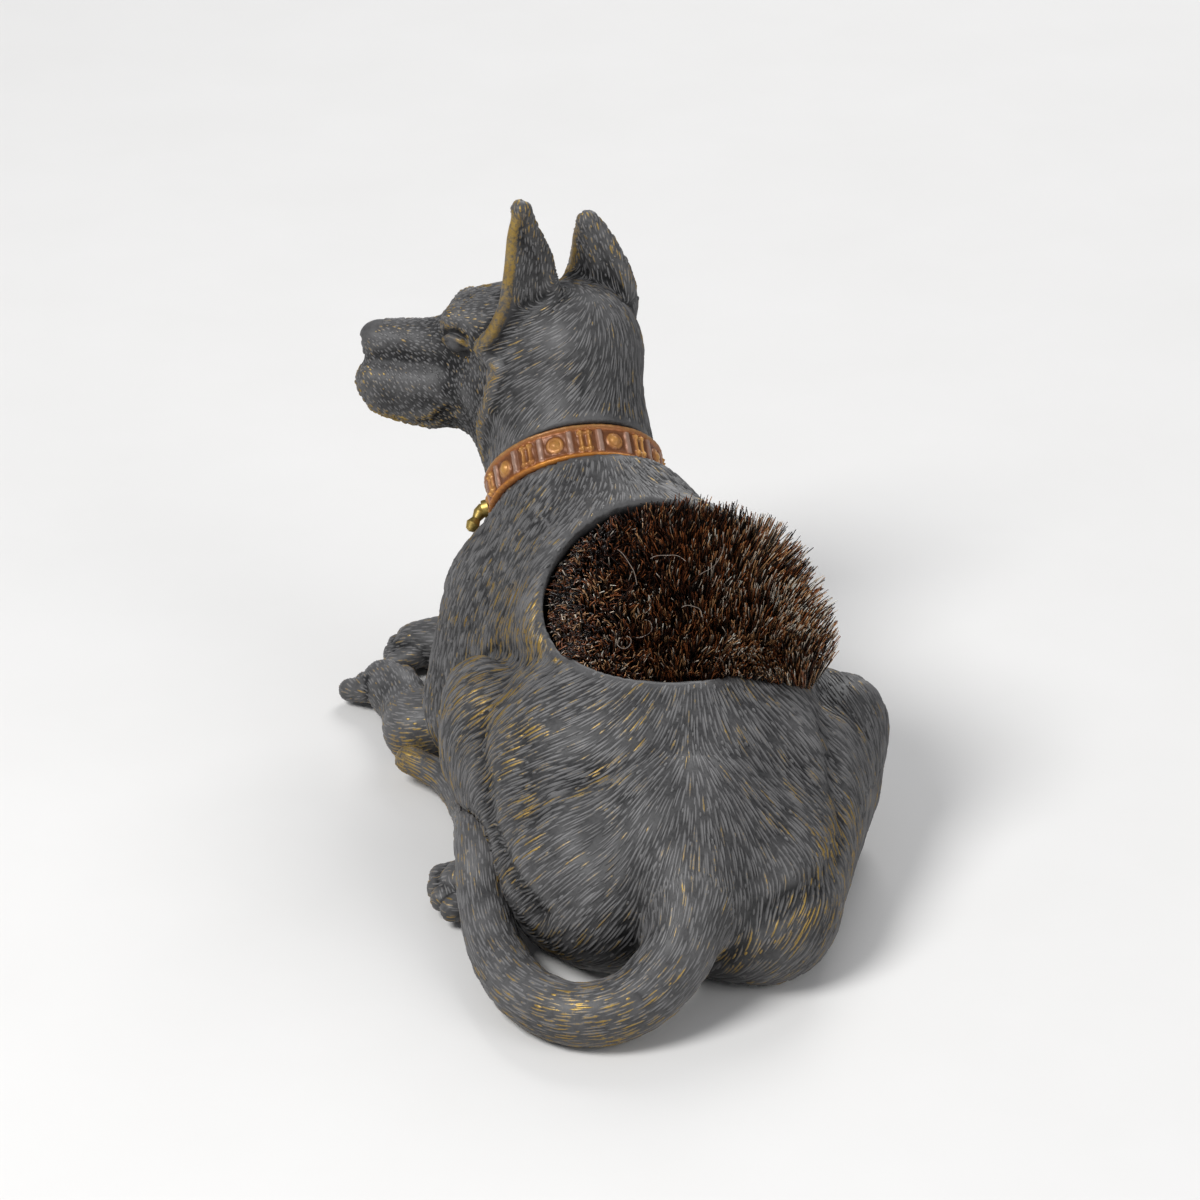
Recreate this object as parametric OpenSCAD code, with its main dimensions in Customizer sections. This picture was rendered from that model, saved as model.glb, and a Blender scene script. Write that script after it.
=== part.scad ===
/* [Trunk] */
// Width over the two knees
hip_w = 45.4; // [41:0.2:50]
// Radius of the croup mass
croup_r = 12.3; // [11.5:0.1:13]
// Radius of the rib cage mass
rib_r = 15.4; // [14.8:0.1:16.2]
// Radius of each knee
knee_r = 5.4; // [4.8:0.1:6]
// Wall of the hollow body casting
wall = 2.4; // [1.8:0.1:3]

/* [Neck and head] */
// Radius of the neck at the collar
neck_r = 9.2; // [8.8:0.1:9.8]
// Radius of the skull mass
skull_r = 6.3; // [5.8:0.1:6.8]
// Length of the muzzle from the stop to the nose
muzzle_l = 11.2; // [9:0.2:13]
// Height of the ears over the skull
ear_h = 12.6; // [9:0.2:15]
// Greatest width of an ear
ear_w = 6; // [4.5:0.1:7]
// Radius of the spigot that enters the body
spigot_r = 5; // [4:0.1:6]
// Length of the spigot
spigot_l = 7; // [5:0.5:9]

/* [Legs and tail] */
// Radius of a forearm at the elbow
arm_r = 3.5; // [3:0.1:4]
// Radius of a paw
paw_r = 2.6; // [2.2:0.1:3]
// Radius of the tail at its root
tail_r = 3.6; // [3.2:0.1:4]
// Radius of the tail at its tip
tail_tip_r = 1.4; // [1.1:0.1:1.8]
// Radius of the pins that hold the castings together
pin_r = 0.9; // [0.7:0.1:1.1]
// Length of a pin
pin_l = 5; // [4:0.2:6]

/* [Brush well] */
// Radius of the well
well_r = 13; // [12.2:0.1:13.4]
// Depth of the well along its axis
well_depth = 16.5; // [15:0.5:17.5]
// Backward lean of the well axis in degrees
well_tilt = 25; // [20:1:30]
// Radius of the rolled edge round the well
roll_r = 2.6; // [2.2:0.1:3]

/* [Brush] */
// Height of the wooden stock with its back board
stock_h = 6; // [5:0.2:7]
// Thickness of the back board
board_t = 1.2; // [1:0.1:1.6]
// Height of the longest bristles over the edge of the well
bristle_rise = 4.4; // [2:0.2:6]
// Radius of a strand at its root
strand_r = 0.26; // [0.2:0.02:0.32]
// Rings of strands round the middle one
strand_rings = 10; // [8:1:11]
// Thickness of the slice that carries the strands
slice_t = 0.6; // [0.4:0.1:1]
// Radius of the drawing wire
wire_r = 0.25; // [0.2:0.05:0.3]

/* [Collar] */
// Width of the collar band
collar_w = 4; // [3.4:0.1:4.6]
// Thickness of the collar band
collar_t = 0.7; // [0.5:0.1:1]
// Height of the collar relief over the band
relief_h = 0.35; // [0.2:0.05:0.5]
// Number of relief panels round the collar
panels = 18; // [14:2:22]

/* [Fits] */
// Clearance of the brush in its well, on the radius
fit_gap = 0.12; // [0.08:0.02:0.2]
// Clearance of a seated casting
seat_gap = 0.06; // [0.04:0.02:0.1]

/* [Hidden] */
$fn = 48;

// Unit vector
function unit(v) = v / norm(v);

// Points and directions of the armature, in the frame of the whole figure
collar_c = [-3.1, 26.1, 28.2];
collar_n = unit([-0.155, 0.803, 0.576]);
skull_c = [-3.9, 33.3, 41.4];
skull_n = unit([-0.05, 0.3, 0.95]);
muzzle_a = [-13.7, 37, 37.6];
muzzle_n = unit([-0.955, 0.29, -0.04]);
nose_c = muzzle_a + muzzle_n * muzzle_l;
well_c = [6.6, -0.3, 27.2];
well_n = [0, -sin(well_tilt), cos(well_tilt)];
hip_c = 6.7;
knee_l = [hip_c - hip_w / 2 + knee_r, 0.3, 13.6];
knee_x = [hip_c + hip_w / 2 - knee_r, -0.5, 13.4];
foot_x = hip_c + hip_w / 2 - 5.7;
seat_r = neck_r - 0.5;

// Roots of the cast limbs: a point on the joint and its outward direction
arm_l_root = [[-15.9, 16.5, 4.6], unit([-0.96, 0.06, -0.2])];
arm_x_root = [[1.7, 29.5, 4.6], unit([-0.86, 0.5, 0])];
foot_l_root = [[-7.3, -16.1, 3.6], unit([-1, 0.05, 0])];
foot_x_root = [[foot_x, 0.7, 3.6], unit([0.06, 1, 0])];
tail_root = [[8.4, -31.3, 12.6], unit([0, -0.82, -0.57])];

// Masses of the figure: start, its radius, end, its radius, softness of the blend
trunk_masses = [
    [[7.7, -20.9, 9.5], croup_r, [6.8, -6.9, 11], croup_r + 1.7, 5],
    [[5.9, -2.9, 12.4], rib_r, [1.5, 15.6, 16.3], rib_r - 0.7, 6],
    [[-0.5, 14.1, 11], 13.4, [-4, 23.6, 11.5], 9.5, 6],
    [[2, 14.1, 22], 10.4, collar_c, neck_r, 6],
    [[-10, 21.1, 17], 7.2, [-13.5, 16.1, 6], 6.3, 5],
    [[9.5, 24.1, 17], 7.2, [10.5, 22.1, 6], 6.3, 5],
    [[8.3, 24.1, 6.5], 5.5, arm_x_root[0] + [1.5, -1, 0], 5, 4],
    [[-3.1, -10.1, 13.2], 9.6, [15.9, -10.7, 12.8], 9.6, 5],
    [[-1.5, -22.4, 9], 9.2, knee_l + [0.9, -4.2, -1.8], 7.3, 2],
    [[15, -23.4, 8.3], 9.2, knee_x + [-2, -3.4, -1.8], 6.8, 2],
    [knee_l + [3, -0.4, 0.4], knee_r, knee_l, knee_r, 2.4],
    [knee_x + [-3, -0.4, 0.4], knee_r, knee_x, knee_r, 2.4],
    [knee_l + [2.4, -1.2, -7.6], 4, [-3.5, -21.9, 3.5], 3.8, 3],
    [knee_x + [0, -1.4, -7.4], 4.6, [18, -24.9, 3.5], 4, 3],
    [[0.5, -27.9, 7.5], 6, [0.6, -27.9, 7.5], 6, 4],
    [[15, -28.4, 6.5], 6.3, [15.1, -28.4, 6.5], 6.3, 4],
    [[8.4, -27.9, 13], 4.4, tail_root[0], tail_r + 0.2, 5]
];
skull_masses = [
    [collar_c, neck_r, [-3.5, 32.1, 39.5], 6.9, 4],
    [skull_c + [0.8, 0, 0.6], skull_r, [-9.5, 35.3, 41.2], skull_r - 0.7, 4],
    [[-10.3, 33.9, 43.3], 3.2, [-15.6, 34.7, 43.6], 2.1, 2.5],
    [[-9.1, 38.1, 43.3], 3.2, [-14.4, 38.9, 43.6], 2.1, 2.5],
    [[-7.5, 31.9, 38], 4.6, [-10, 33.1, 36], 3.6, 3],
    [[-6, 37.6, 38], 4.6, [-9, 38.1, 36], 3.6, 3],
    [[-8.5, 33.6, 30], 5, [-6.5, 33.1, 36], 5, 5]
];
muzzle_masses = [
    [muzzle_a + [0.2, -0.1, 2.2], 3.2, nose_c + [-0.4, 0.1, 1.6], 2.4, 2],
    [muzzle_a + [0.2, -1.6, -2.1], 3.4, nose_c + [0.6, -1.4, -3.1], 3.1, 2.5],
    [muzzle_a + [0.9, 1.4, -2.1], 3.4, nose_c + [1.2, 1.4, -3.1], 3.1, 2.5],
    [[-7.5, 35.1, 34], 4.2, nose_c + [4.6, -1.2, -6.2], 2.2, 3]
];
arm_l_masses = [
    [arm_l_root[0] - 3 * arm_l_root[1], arm_r + 1.2, [-20.1, 16.9, 3.3], arm_r, 3],
    [[-20.1, 16.9, 3.3], arm_r, [-22.9, 25.5, 2.9], paw_r - 0.1, 2],
    [[-22.9, 25.5, 2.9], paw_r - 0.1, [-24.4, 28.7, 2.6], paw_r, 2]
];
arm_x_masses = [
    [arm_x_root[0] - 3 * arm_x_root[1], arm_r + 0.9, [-3.7, 32.1, 4], arm_r, 3],
    [[-3.7, 32.1, 4], arm_r, [-18, 37, 3.2], paw_r, 2],
    [[-18, 37, 3.2], paw_r, [-21, 37.7, 2.7], paw_r, 2]
];
foot_l_masses = [
    [foot_l_root[0] - 3 * foot_l_root[1], paw_r + 0.5, [-14.3, -15.8, 3], paw_r, 2]
];
foot_x_masses = [
    [foot_x_root[0] - 3 * foot_x_root[1], paw_r + 0.5, [foot_x + 0.4, 6.5, 2.9], paw_r - 0.2, 2]
];
// Four toes side by side at the end of a paw, spread across the direction d
function toes(p, d, r) = let (s = unit(cross(d, [0, 0, 1]))) [for (k = [-1.5:1:1.5])
    [p + k * 0.62 * r * s - [0, 0, 0.1 * r], 0.56 * r,
    p + k * 0.86 * r * s + (1 - 0.12 * k * k) * r * d - [0, 0, 0.35 * r], 0.5 * r, 0.5]];

// Middle line of the tail and its radius along it
tail_pts = [tail_root[0], [8.4, -34.3, 10.8], [6.9, -37.5, 7.4], [2.9, -40.7, 4.4], [-2.4, -41.3, 3.2],
    [-7.4, -37.5, 3], [-10.6, -30.3, 3.2], [-12.1, -23.9, 5], [-12.9, -17.5, 8.4], [-13.4, -9.9, 6.6],
    [-14.1, -1.9, 3.2], [-16.7, 6.3, 2.6], [-21.1, 10.5, 3]];
tail_n = 4 * (len(tail_pts) - 1);
tail_c = [for (i = [0:tail_n]) through(tail_pts, i / 4)];
tail_cr = [for (i = [0:tail_n]) let (t = i / tail_n)
    tail_r + (tail_tip_r - tail_r) * (0.55 * t + 0.45 * t * t)];

// Soft meeting of two distances
function smin(a, b, k) = let (h = max(k - abs(a - b), 0) / k) min(a, b) - h * h * k / 4;
// Distance to one tapered mass
function mass_d(p, m) = let (ab = m[2] - m[0], t = max(0, min(1, (p - m[0]) * ab / (ab * ab))))
    norm(p - m[0] - t * ab) - m[1] - t * (m[3] - m[1]);
// Distance to a blended group of masses
function group_d(p, ms, i = 0, d = 99) = i == len(ms) ? d
    : group_d(p, ms, i + 1, smin(d, mass_d(p, ms[i]), ms[i][4]));
// Distance to the round tub that carries the well
function tub_d(p) = let (q = p - well_c, h = q * well_n, a = norm(q - h * well_n) - well_r - 2 + roll_r,
    b = abs(h + well_depth / 2) - well_depth / 2 + roll_r)
    norm([max(a, 0), max(b, 0)]) + min(max(a, b), 0) - roll_r;
function trunk_d(p) = smin(group_d(p, trunk_masses), tub_d(p), 4);
// Distance to the part of the tail that runs beside the haunch, and its groove in the haunch
function tail_d(p, i = 16, d = 99) = i == len(tail_c) - 1 ? d
    : tail_d(p, i + 2, min(d, mass_d(p, [tail_c[i], tail_cr[i], tail_c[i + 2], tail_cr[i + 2]])));
groove = 0.9;
function haunch_d(p) = p[0] > 0 || p[2] > 15 || p[1] > 14 ? trunk_d(p)
    : max(trunk_d(p), groove - tail_d(p));
function head_d(p) = smin(group_d(p, skull_masses), group_d(p, muzzle_masses), 3);

// Distance along a ray from inside a field to its surface
function march(f, c, d, n = 26, r = 0) = let (v = f(c + r * d))
    n == 0 || v > -0.004 ? r : march(f, c, d, n - 1, r - v);
// A station of a skin: centre, right, down, forward, lean of the rays in degrees
function station(c, w, lean = 0) = let (u = unit(cross(w, [0, 0, 1]))) [c, u, cross(w, u), w, lean];
function ray_dir(s, a) = cos(s[4]) * (cos(a) * s[1] + sin(a) * s[2]) + sin(s[4]) * s[3];
// Ray that stops at the ground level z0
function ray_point(f, s, a, z0) = let (d = ray_dir(s, a), r = march(f, s[0], d),
    g = d[2] < -0.001 ? (z0 - s[0][2]) / d[2] : 999) s[0] + min(r, g) * d;
// End of a ray along the forward direction of a station
function tip(f, s, sgn) = let (d = sgn * s[3]) s[0] + march(f, s[0], d) * d;
// Triangles of a stack of m rings of n points between two end points
function stack_faces(m, n) = concat(
    [for (k = [0:n - 1]) [0, 1 + k, 1 + (k + 1) % n]],
    [for (i = [0:m - 2], k = [0:n - 1], t = [0, 1]) let (a = 1 + i * n + k, b = 1 + i * n + (k + 1) % n)
        t == 0 ? [a, a + n, b + n] : [a, b + n, b]],
    [for (k = [0:n - 1]) [1 + m * n, 1 + (m - 1) * n + (k + 1) % n, 1 + (m - 1) * n + k]]);
module skin(f, stations, n, first, last, z0 = -99) {
    pts = concat([first], [for (s = stations, k = [0:n - 1]) ray_point(f, s, k * 360 / n, z0)], [last]);
    polyhedron(pts, stack_faces(len(stations), n), convexity = 8);
}
// Cubic curve and its direction
function bez(b, t) = (1 - t) ^ 3 * b[0] + 3 * (1 - t) ^ 2 * t * b[1] + 3 * (1 - t) * t ^ 2 * b[2]
    + t ^ 3 * b[3];
function bez_d(b, t) = unit((1 - t) ^ 2 * (b[1] - b[0]) + 2 * (1 - t) * t * (b[2] - b[1])
    + t ^ 2 * (b[3] - b[2]));
// Curve through a list of points at the position t
function through(ps, t) = let (n = len(ps) - 1, i = min(n - 1, floor(t)), u = t - i,
    a = ps[max(i - 1, 0)], b = ps[i], c = ps[i + 1], d = ps[min(i + 2, n)])
    b + 0.5 * u * (c - a + u * (2 * a - 5 * b + 4 * c - d + u * (3 * (b - c) + d - a)));

// Frame with its z axis along n at the point p
module at(p, n) {
    translate(p) rotate([0, acos(n[2] / norm(n)), atan2(n[1], n[0])]) children();
}
// Flat seat cut for the root of a limb, and the hole of its pin
module root_seat(root, r) {
    at(root[0] - seat_gap * root[1], root[1]) cylinder(r = r, h = 14);
    pin_hole(root);
}
module pin_hole(root) {
    at(root[0] - (pin_l / 2 + 0.2) * root[1], root[1])
        cylinder(r = pin_r + seat_gap, h = pin_l + 0.4, $fn = 16);
}
// Ring cut from the neck under the collar
module collar_seat() {
    at(collar_c - (collar_w / 2 + seat_gap) * collar_n, collar_n) rotate([0, 0, 2.17]) difference() {
        cylinder(r = 17, h = collar_w + 2 * seat_gap);
        translate([0, 0, -1]) cylinder(r = seat_r, h = collar_w + 3);
    }
}

// Body casting
spine = [[7.5, -21.9, 9], [6.8, -1.9, 9.5], collar_c - 17 * collar_n, collar_c];
module body_skin(f, n, steps, t_end, z0, flat_end) {
    s0 = station(bez(spine, 0), bez_d(spine, 0));
    se = station(bez(spine, t_end), bez_d(spine, t_end));
    st = concat(
        [for (a = [-75:15:-15]) [s0[0], s0[1], s0[2], s0[3], a]],
        [for (i = [0:steps]) station(bez(spine, t_end * i / steps), bez_d(spine, t_end * i / steps))],
        flat_end ? [] : [for (a = [30, 60]) [se[0], se[1], se[2], se[3], a]]);
    skin(f, st, n, tip(f, s0, -1), flat_end ? collar_c : tip(f, se, 1), z0);
}
module body() {
    color([0.2, 0.2, 0.2]) difference() {
        body_skin(function(p) haunch_d(p), 46, 32, 1, 0, true);
        difference() {
            body_skin(function(p) haunch_d([p[0], p[1], max(p[2], 1.5)]) + wall, 26, 15, 0.62, -3, false);
            at(well_c - (well_depth + wall) * well_n, well_n) cylinder(r = well_r + wall, h = 40);
        }
        at(well_c - well_depth * well_n, well_n) cylinder(r = well_r, h = 40);
        at(collar_c - (spigot_l + 0.3) * collar_n, collar_n)
            cylinder(r = spigot_r + seat_gap, h = spigot_l + 2);
        collar_seat();
        root_seat(arm_l_root, arm_r + 1.2);
        root_seat(arm_x_root, arm_r + 1.2);
        root_seat(foot_l_root, paw_r + 0.7);
        root_seat(foot_x_root, paw_r + 0.7);
        root_seat(tail_root, tail_r + 0.3);
    }
}

// Head casting
nape = [collar_c, collar_c + 5 * collar_n, skull_c - 5 * skull_n, skull_c];
// The skull ends at the stop, where the slightly smaller muzzle enters it
stop_x = 1.2;
module skull() {
    f = function(p) let (x = (p - muzzle_a) * muzzle_n)
        max(head_d(p), x - stop_x);
    se = station(skull_c, skull_n);
    st = concat([for (i = [0:14]) station(bez(nape, i / 14), bez_d(nape, i / 14))],
        [for (a = [15:15:75]) [se[0], se[1], se[2], se[3], a]]);
    skin(f, st, 38, collar_c + 1.5 * collar_n, tip(f, se, 1));
}
module muzzle() {
    mid = [0, 0, -1];
    f = function(p) let (q = p - muzzle_a - mid, x = q * muzzle_n)
        max(head_d(p) + 0.12, norm(q - x * muzzle_n) - 7);
    se = station(nose_c + mid, muzzle_n);
    st = concat([for (i = [-4:1:11]) station(muzzle_a + mid + i * muzzle_l / 12 * muzzle_n, muzzle_n)],
        [for (a = [0:18:72]) [se[0], se[1], se[2], se[3], a]]);
    skin(f, st, 28, st[0][0], tip(f, se, 1));
}
// An ear: its root, its tip, the direction of its width
module ear(a, b, wide) {
    bar = [[0, 0.9], [0.22, 1], [0.5, 0.8], [0.78, 0.46], [1, 0.06]];
    for (i = [0:3]) hull() for (j = [i, i + 1], s = [-0.5, 0.5])
        translate(a + bar[j][0] * (b - a) + s * (ear_w * bar[j][1] - 1) * wide)
            sphere(r = 0.8 - 0.25 * bar[j][0], $fn = 10);
}
module head() {
    color([0.22, 0.22, 0.22]) difference() {
        union() {
            skull();
            muzzle();
            ear([-7.9, 30.9, 44.6], [-8.8, 30.1, 46.4 + ear_h], unit([-0.85, -0.5, -0.25]));
            ear([-0.1, 36.7, 44.2], [-1.9, 37.5, 42.4 + ear_h], unit([0.85, 0.45, -0.4]));
            at(collar_c - spigot_l * collar_n, collar_n) rotate([0, 0, 2.17])
                cylinder(r = spigot_r, h = spigot_l + 2);
        }
        collar_seat();
    }
}

// Collar band with rails and relief panels
module collar() {
    ri = seat_r + seat_gap;
    ro = ri + collar_t;
    rail = 0.16 * collar_w;
    color([0.62, 0.34, 0.12]) at(collar_c, collar_n) {
        rotate_extrude($fn = 72) polygon([[ri, -collar_w / 2], [ro + relief_h, -collar_w / 2],
            [ro + relief_h, rail - collar_w / 2], [ro, rail - collar_w / 2], [ro, collar_w / 2 - rail],
            [ro + relief_h, collar_w / 2 - rail], [ro + relief_h, collar_w / 2], [ri, collar_w / 2]]);
        for (k = [0:panels - 1]) rotate([0, 0, k * 360 / panels]) {
            translate([ri + 0.2, -0.3, 0.1 - collar_w / 2])
                cube([collar_t + relief_h - 0.25, 0.6, collar_w - 0.2]);
            rotate([0, 0, 180 / panels]) translate([ri + 0.2, 0, 0]) rotate([0, 90, 0])
                cylinder(r1 = 0.24 * collar_w, r2 = 0.17 * collar_w, h = collar_t + relief_h - 0.2,
                    $fn = 16);
        }
    }
}
// Small drop that hangs from the collar beside the throat
module collar_drop() {
    ro = seat_r + seat_gap + collar_t + relief_h;
    color([0.72, 0.6, 0.2]) at(collar_c, collar_n) rotate([0, 0, 68]) translate([ro + 0.02, 0, 0.1]) {
        rotate([0, 90, 0]) cylinder(r = 1, h = 0.7, $fn = 24);
        translate([0.9, 0, 0]) rotate([0, 140, 0]) rotate_extrude($fn = 24)
            polygon([[0, -0.6], [0.6, -0.4], [0.75, 0.4], [0.5, 1.2], [0.8, 1.9], [0.5, 2.6], [0, 2.8]]);
    }
}

// Legs and feet
module limb(masses, root, pts, end_n, n) {
    f = function(p) group_d(p, masses);
    m = 5 * (len(pts) - 1);
    c = [for (i = [0:m]) through(pts, i / 5)];
    st = concat([station(root[0], root[1])],
        [for (i = [1:m]) station(c[i], i == m ? end_n : unit(c[i + 1] - c[i - 1]))],
        [for (a = [20, 40, 58, 75]) let (s = station(c[m], end_n)) [s[0], s[1], s[2], s[3], a]]);
    difference() {
        skin(f, st, n, root[0] + 0.8 * root[1], tip(f, st[m], 1), 0);
        pin_hole(root);
    }
}
arm_l_n = unit([-0.5, 0.87, 0]);
arm_x_n = unit([-0.98, 0.17, 0]);
foot_l_n = unit([-0.98, -0.2, 0]);
foot_x_n = unit([0.1, 1, 0]);
module left_foreleg() {
    color([0.2, 0.2, 0.19]) limb(concat(arm_l_masses, toes(arm_l_masses[2][2], arm_l_n, paw_r)), arm_l_root,
        [arm_l_root[0], [-19.9, 17.5, 3.4], [-21.7, 22.1, 3], [-23.3, 26.5, 2.8], arm_l_masses[2][2]],
        arm_l_n, 24);
}
module right_foreleg() {
    color([0.2, 0.2, 0.19]) limb(concat(arm_x_masses, toes(arm_x_masses[2][2], arm_x_n, paw_r)), arm_x_root,
        [arm_x_root[0], [-3.7, 32, 4], [-10.7, 34.3, 3.6], [-17.4, 36.9, 3.2], arm_x_masses[2][2]],
        arm_x_n, 24);
}
module left_hind_foot() {
    color([0.2, 0.2, 0.19]) limb(concat(foot_l_masses, toes(foot_l_masses[0][2], foot_l_n, paw_r)),
        foot_l_root, [foot_l_root[0], [-11.1, -16.1, 3.2], foot_l_masses[0][2]], foot_l_n, 24);
}
module right_hind_foot() {
    color([0.2, 0.2, 0.19]) limb(concat(foot_x_masses, toes(foot_x_masses[0][2], foot_x_n, paw_r - 0.2)),
        foot_x_root, [foot_x_root[0], [foot_x + 0.2, 3.7, 3.2], foot_x_masses[0][2]], foot_x_n, 24);
}

// Tail laid in a loop beside the left haunch
module tail() {
    m = tail_n;
    n = 14;
    c = tail_c;
    r = tail_cr;
    w = [for (i = [0:m]) i == 0 ? tail_root[1] : unit(c[min(i + 1, m)] - c[i - 1])];
    ring = function(p, d, q) let (s = station(p, d)) [for (k = [0:n - 1]) p + q * ray_dir(s, k * 360 / n)];
    pts = concat([c[0] + 0.8 * w[0]], [for (i = [0:m], x = ring(c[i], w[i], r[i])) x],
        [for (a = [35, 65], x = ring(c[m] + r[m] * sin(a) * w[m], w[m], r[m] * cos(a))) x],
        [c[m] + r[m] * w[m]]);
    color([0.2, 0.2, 0.19]) difference() {
        polyhedron(pts, stack_faces(m + 3, n), convexity = 6);
        pin_hole(tail_root);
    }
}

// Pins that hold the cast limbs to the body
module joint_pins() {
    color([0.7, 0.55, 0.25]) for (root = [arm_l_root, arm_x_root, foot_l_root, foot_x_root, tail_root])
        at(root[0] - pin_l / 2 * root[1], root[1]) cylinder(r = pin_r, h = pin_l, $fn = 16);
}

// Brush that drops into the well
floor_c = well_c - (well_depth - 0.02) * well_n;
stock_r = well_r - fit_gap;
hole_r = 0.5;
hole_step = 0.256 * stock_r;
wire_bed = 2 * wire_r + 0.2;
brad_at = [for (k = [0:2]) stock_r * 0.88 * [cos(120 * k + 90), sin(120 * k + 90), 0]];
function holes() = concat([[0, 0, 0]], [for (k = [1:3], j = [0:6 * k - 1])
    k * hole_step * [cos(j * 60 / k), sin(j * 60 / k), 0]]);
module stock() {
    color([0.45, 0.3, 0.16]) at(floor_c, well_n) difference() {
        translate([0, 0, board_t]) cylinder(r = stock_r, h = stock_h - board_t);
        for (p = holes()) translate(p) cylinder(r = hole_r, h = stock_h + 1, $fn = 16);
        for (p = brad_at) translate(p) cylinder(r = 0.4, h = board_t + 2.2, $fn = 16);
    }
}
module back_board() {
    color([0.5, 0.34, 0.2]) at(floor_c, well_n) difference() {
        cylinder(r = stock_r, h = board_t);
        translate([0, 0, board_t - wire_bed]) cylinder(r = stock_r * 0.8, h = 1);
        for (p = brad_at) translate([p[0], p[1], -1]) cylinder(r = 0.4, h = board_t + 2, $fn = 16);
        for (p = brad_at) translate([p[0], p[1], -1]) cylinder(r = 0.85, h = 1.65, $fn = 24);
    }
}
// Wire laid from hole to hole along each ring of tufts
module draw_wire() {
    z = board_t - wire_r - 0.02;
    color([0.75, 0.6, 0.3]) at(floor_c, well_n) for (k = [1:3]) translate([0, 0, z])
        rotate_extrude($fn = 48) translate([k * hole_step, 0, 0]) circle(r = wire_r, $fn = 12);
}
module board_brads() {
    color([0.75, 0.6, 0.3]) at(floor_c, well_n) for (p = brad_at) translate([p[0], p[1], 0.33]) {
        cylinder(r = 0.8, h = 0.3, $fn = 24);
        cylinder(r = 0.4 - 0.02, h = board_t + 1.7, $fn = 24);
    }
}
// Strands in rings that spread over the edge of the well
root_r = well_r - 1.3;
neck_h = well_depth - stock_h;
function strand_axis(k, j) = let (a = j * 60 / max(k, 1) + 17 * k, q = k / strand_rings,
    e = [cos(a), sin(a), 0], side = cos(min(90, 1.6 * abs(a - 360 * floor(a / 360) - 105))),
    rise = bristle_rise * (1 - 0.55 * q * q) * (0.6 + 0.4 * cos(a - 75) * q) + 0.5 * sin(a * 7 + k * 50),
    b = root_r * q * e, c = (well_r - 0.75) * q * e, d = (well_r - 0.9 + 3.2 * side * q) * q * e)
    [b - [0, 0, 0.3], c + [0, 0, neck_h + 0.4], d + [0, 0, neck_h + max(1.1, rise + 0.8)]];
function strand_ring(p, r, a) = [for (i = [0:2]) p + r * [cos(a + 120 * i), sin(a + 120 * i), 0]];
module bristles() {
    all = [for (k = [0:strand_rings], j = [0:max(6 * k, 1) - 1]) strand_axis(k, j)];
    pts = [for (i = [0:len(all) - 1]) each concat(strand_ring(all[i][0], strand_r, 31 * i),
        strand_ring(all[i][1], strand_r, 31 * i), strand_ring(all[i][2], 0.55 * strand_r, 31 * i))];
    one = [[0, 1, 2], [6, 8, 7], [0, 3, 4], [0, 4, 1], [1, 4, 5], [1, 5, 2], [2, 5, 3], [2, 3, 0],
        [3, 6, 7], [3, 7, 4], [4, 7, 8], [4, 8, 5], [5, 8, 6], [5, 6, 3]];
    color([0.16, 0.09, 0.06]) at(floor_c + (stock_h + 0.02) * well_n, well_n)
        translate([0, 0, slice_t]) union() {
            polyhedron(pts, [for (i = [0:len(all) - 1], f = one) f + 9 * [i, i, i]], convexity = 20);
            translate([0, 0, -slice_t]) cylinder(r = stock_r - 0.3, h = slice_t);
        }
}

body();
head();
collar();
collar_drop();
left_foreleg();
right_foreleg();
left_hind_foot();
right_hind_foot();
tail();
joint_pins();
stock();
back_board();
draw_wire();
board_brads();
bristles();
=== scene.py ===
"""Looks of the lying hound pen wipe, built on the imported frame. Lengths are in millimetres until a mesh is made."""
import math

import bpy
import numpy as np
import openvdb
from mathutils import Matrix, Vector


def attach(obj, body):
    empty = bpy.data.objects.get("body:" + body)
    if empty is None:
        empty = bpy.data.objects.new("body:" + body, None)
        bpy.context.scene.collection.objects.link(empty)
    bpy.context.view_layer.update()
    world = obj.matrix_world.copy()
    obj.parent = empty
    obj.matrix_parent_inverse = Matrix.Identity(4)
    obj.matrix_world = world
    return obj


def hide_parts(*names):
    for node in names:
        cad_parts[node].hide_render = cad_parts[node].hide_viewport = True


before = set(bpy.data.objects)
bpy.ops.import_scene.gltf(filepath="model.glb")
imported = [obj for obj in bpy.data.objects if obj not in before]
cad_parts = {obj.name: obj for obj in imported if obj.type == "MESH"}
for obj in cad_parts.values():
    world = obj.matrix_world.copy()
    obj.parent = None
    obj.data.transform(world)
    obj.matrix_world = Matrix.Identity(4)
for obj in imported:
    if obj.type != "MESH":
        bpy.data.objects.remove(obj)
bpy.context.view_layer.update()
MM = 0.001
rng = np.random.default_rng(20)

# Camera of the photograph: an image of 1200 pixels, looking along +Y from behind and above
IMAGE_PX, FOCAL_PX, DISTANCE, ELEVATION = 1200, 4569.6, 480.0, math.radians(27)
TARGET = np.array([-0.5, 8.1, 23.4])
VIEW_RIGHT = np.array([1.0, 0, 0])
VIEW_UP = np.array([0, math.sin(ELEVATION), math.cos(ELEVATION)])
VIEW_BACK = np.array([0, -math.cos(ELEVATION), math.sin(ELEVATION)])
RAY_START, RAY_STEPS, SENSOR_MM = 400, 70, 36


# Small vector helpers
def unit(v):
    v = np.asarray(v, float)
    return v / np.linalg.norm(v)


def rows_unit(v):
    return v / np.maximum(np.linalg.norm(v, axis=1, keepdims=True), 1e-9)


def pt(*v):
    return np.array(v, float)


def smoothstep(lo, hi, x):
    t = np.clip((x - lo) / (hi - lo), 0, 1)
    return t * t * (3 - 2 * t)


def axial(p, c, n):
    """Height along the axis through c, and distance from it."""
    q = p - c
    h = q @ n
    return h, np.sqrt(np.maximum((q * q).sum(1) - h * h, 0))


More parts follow.
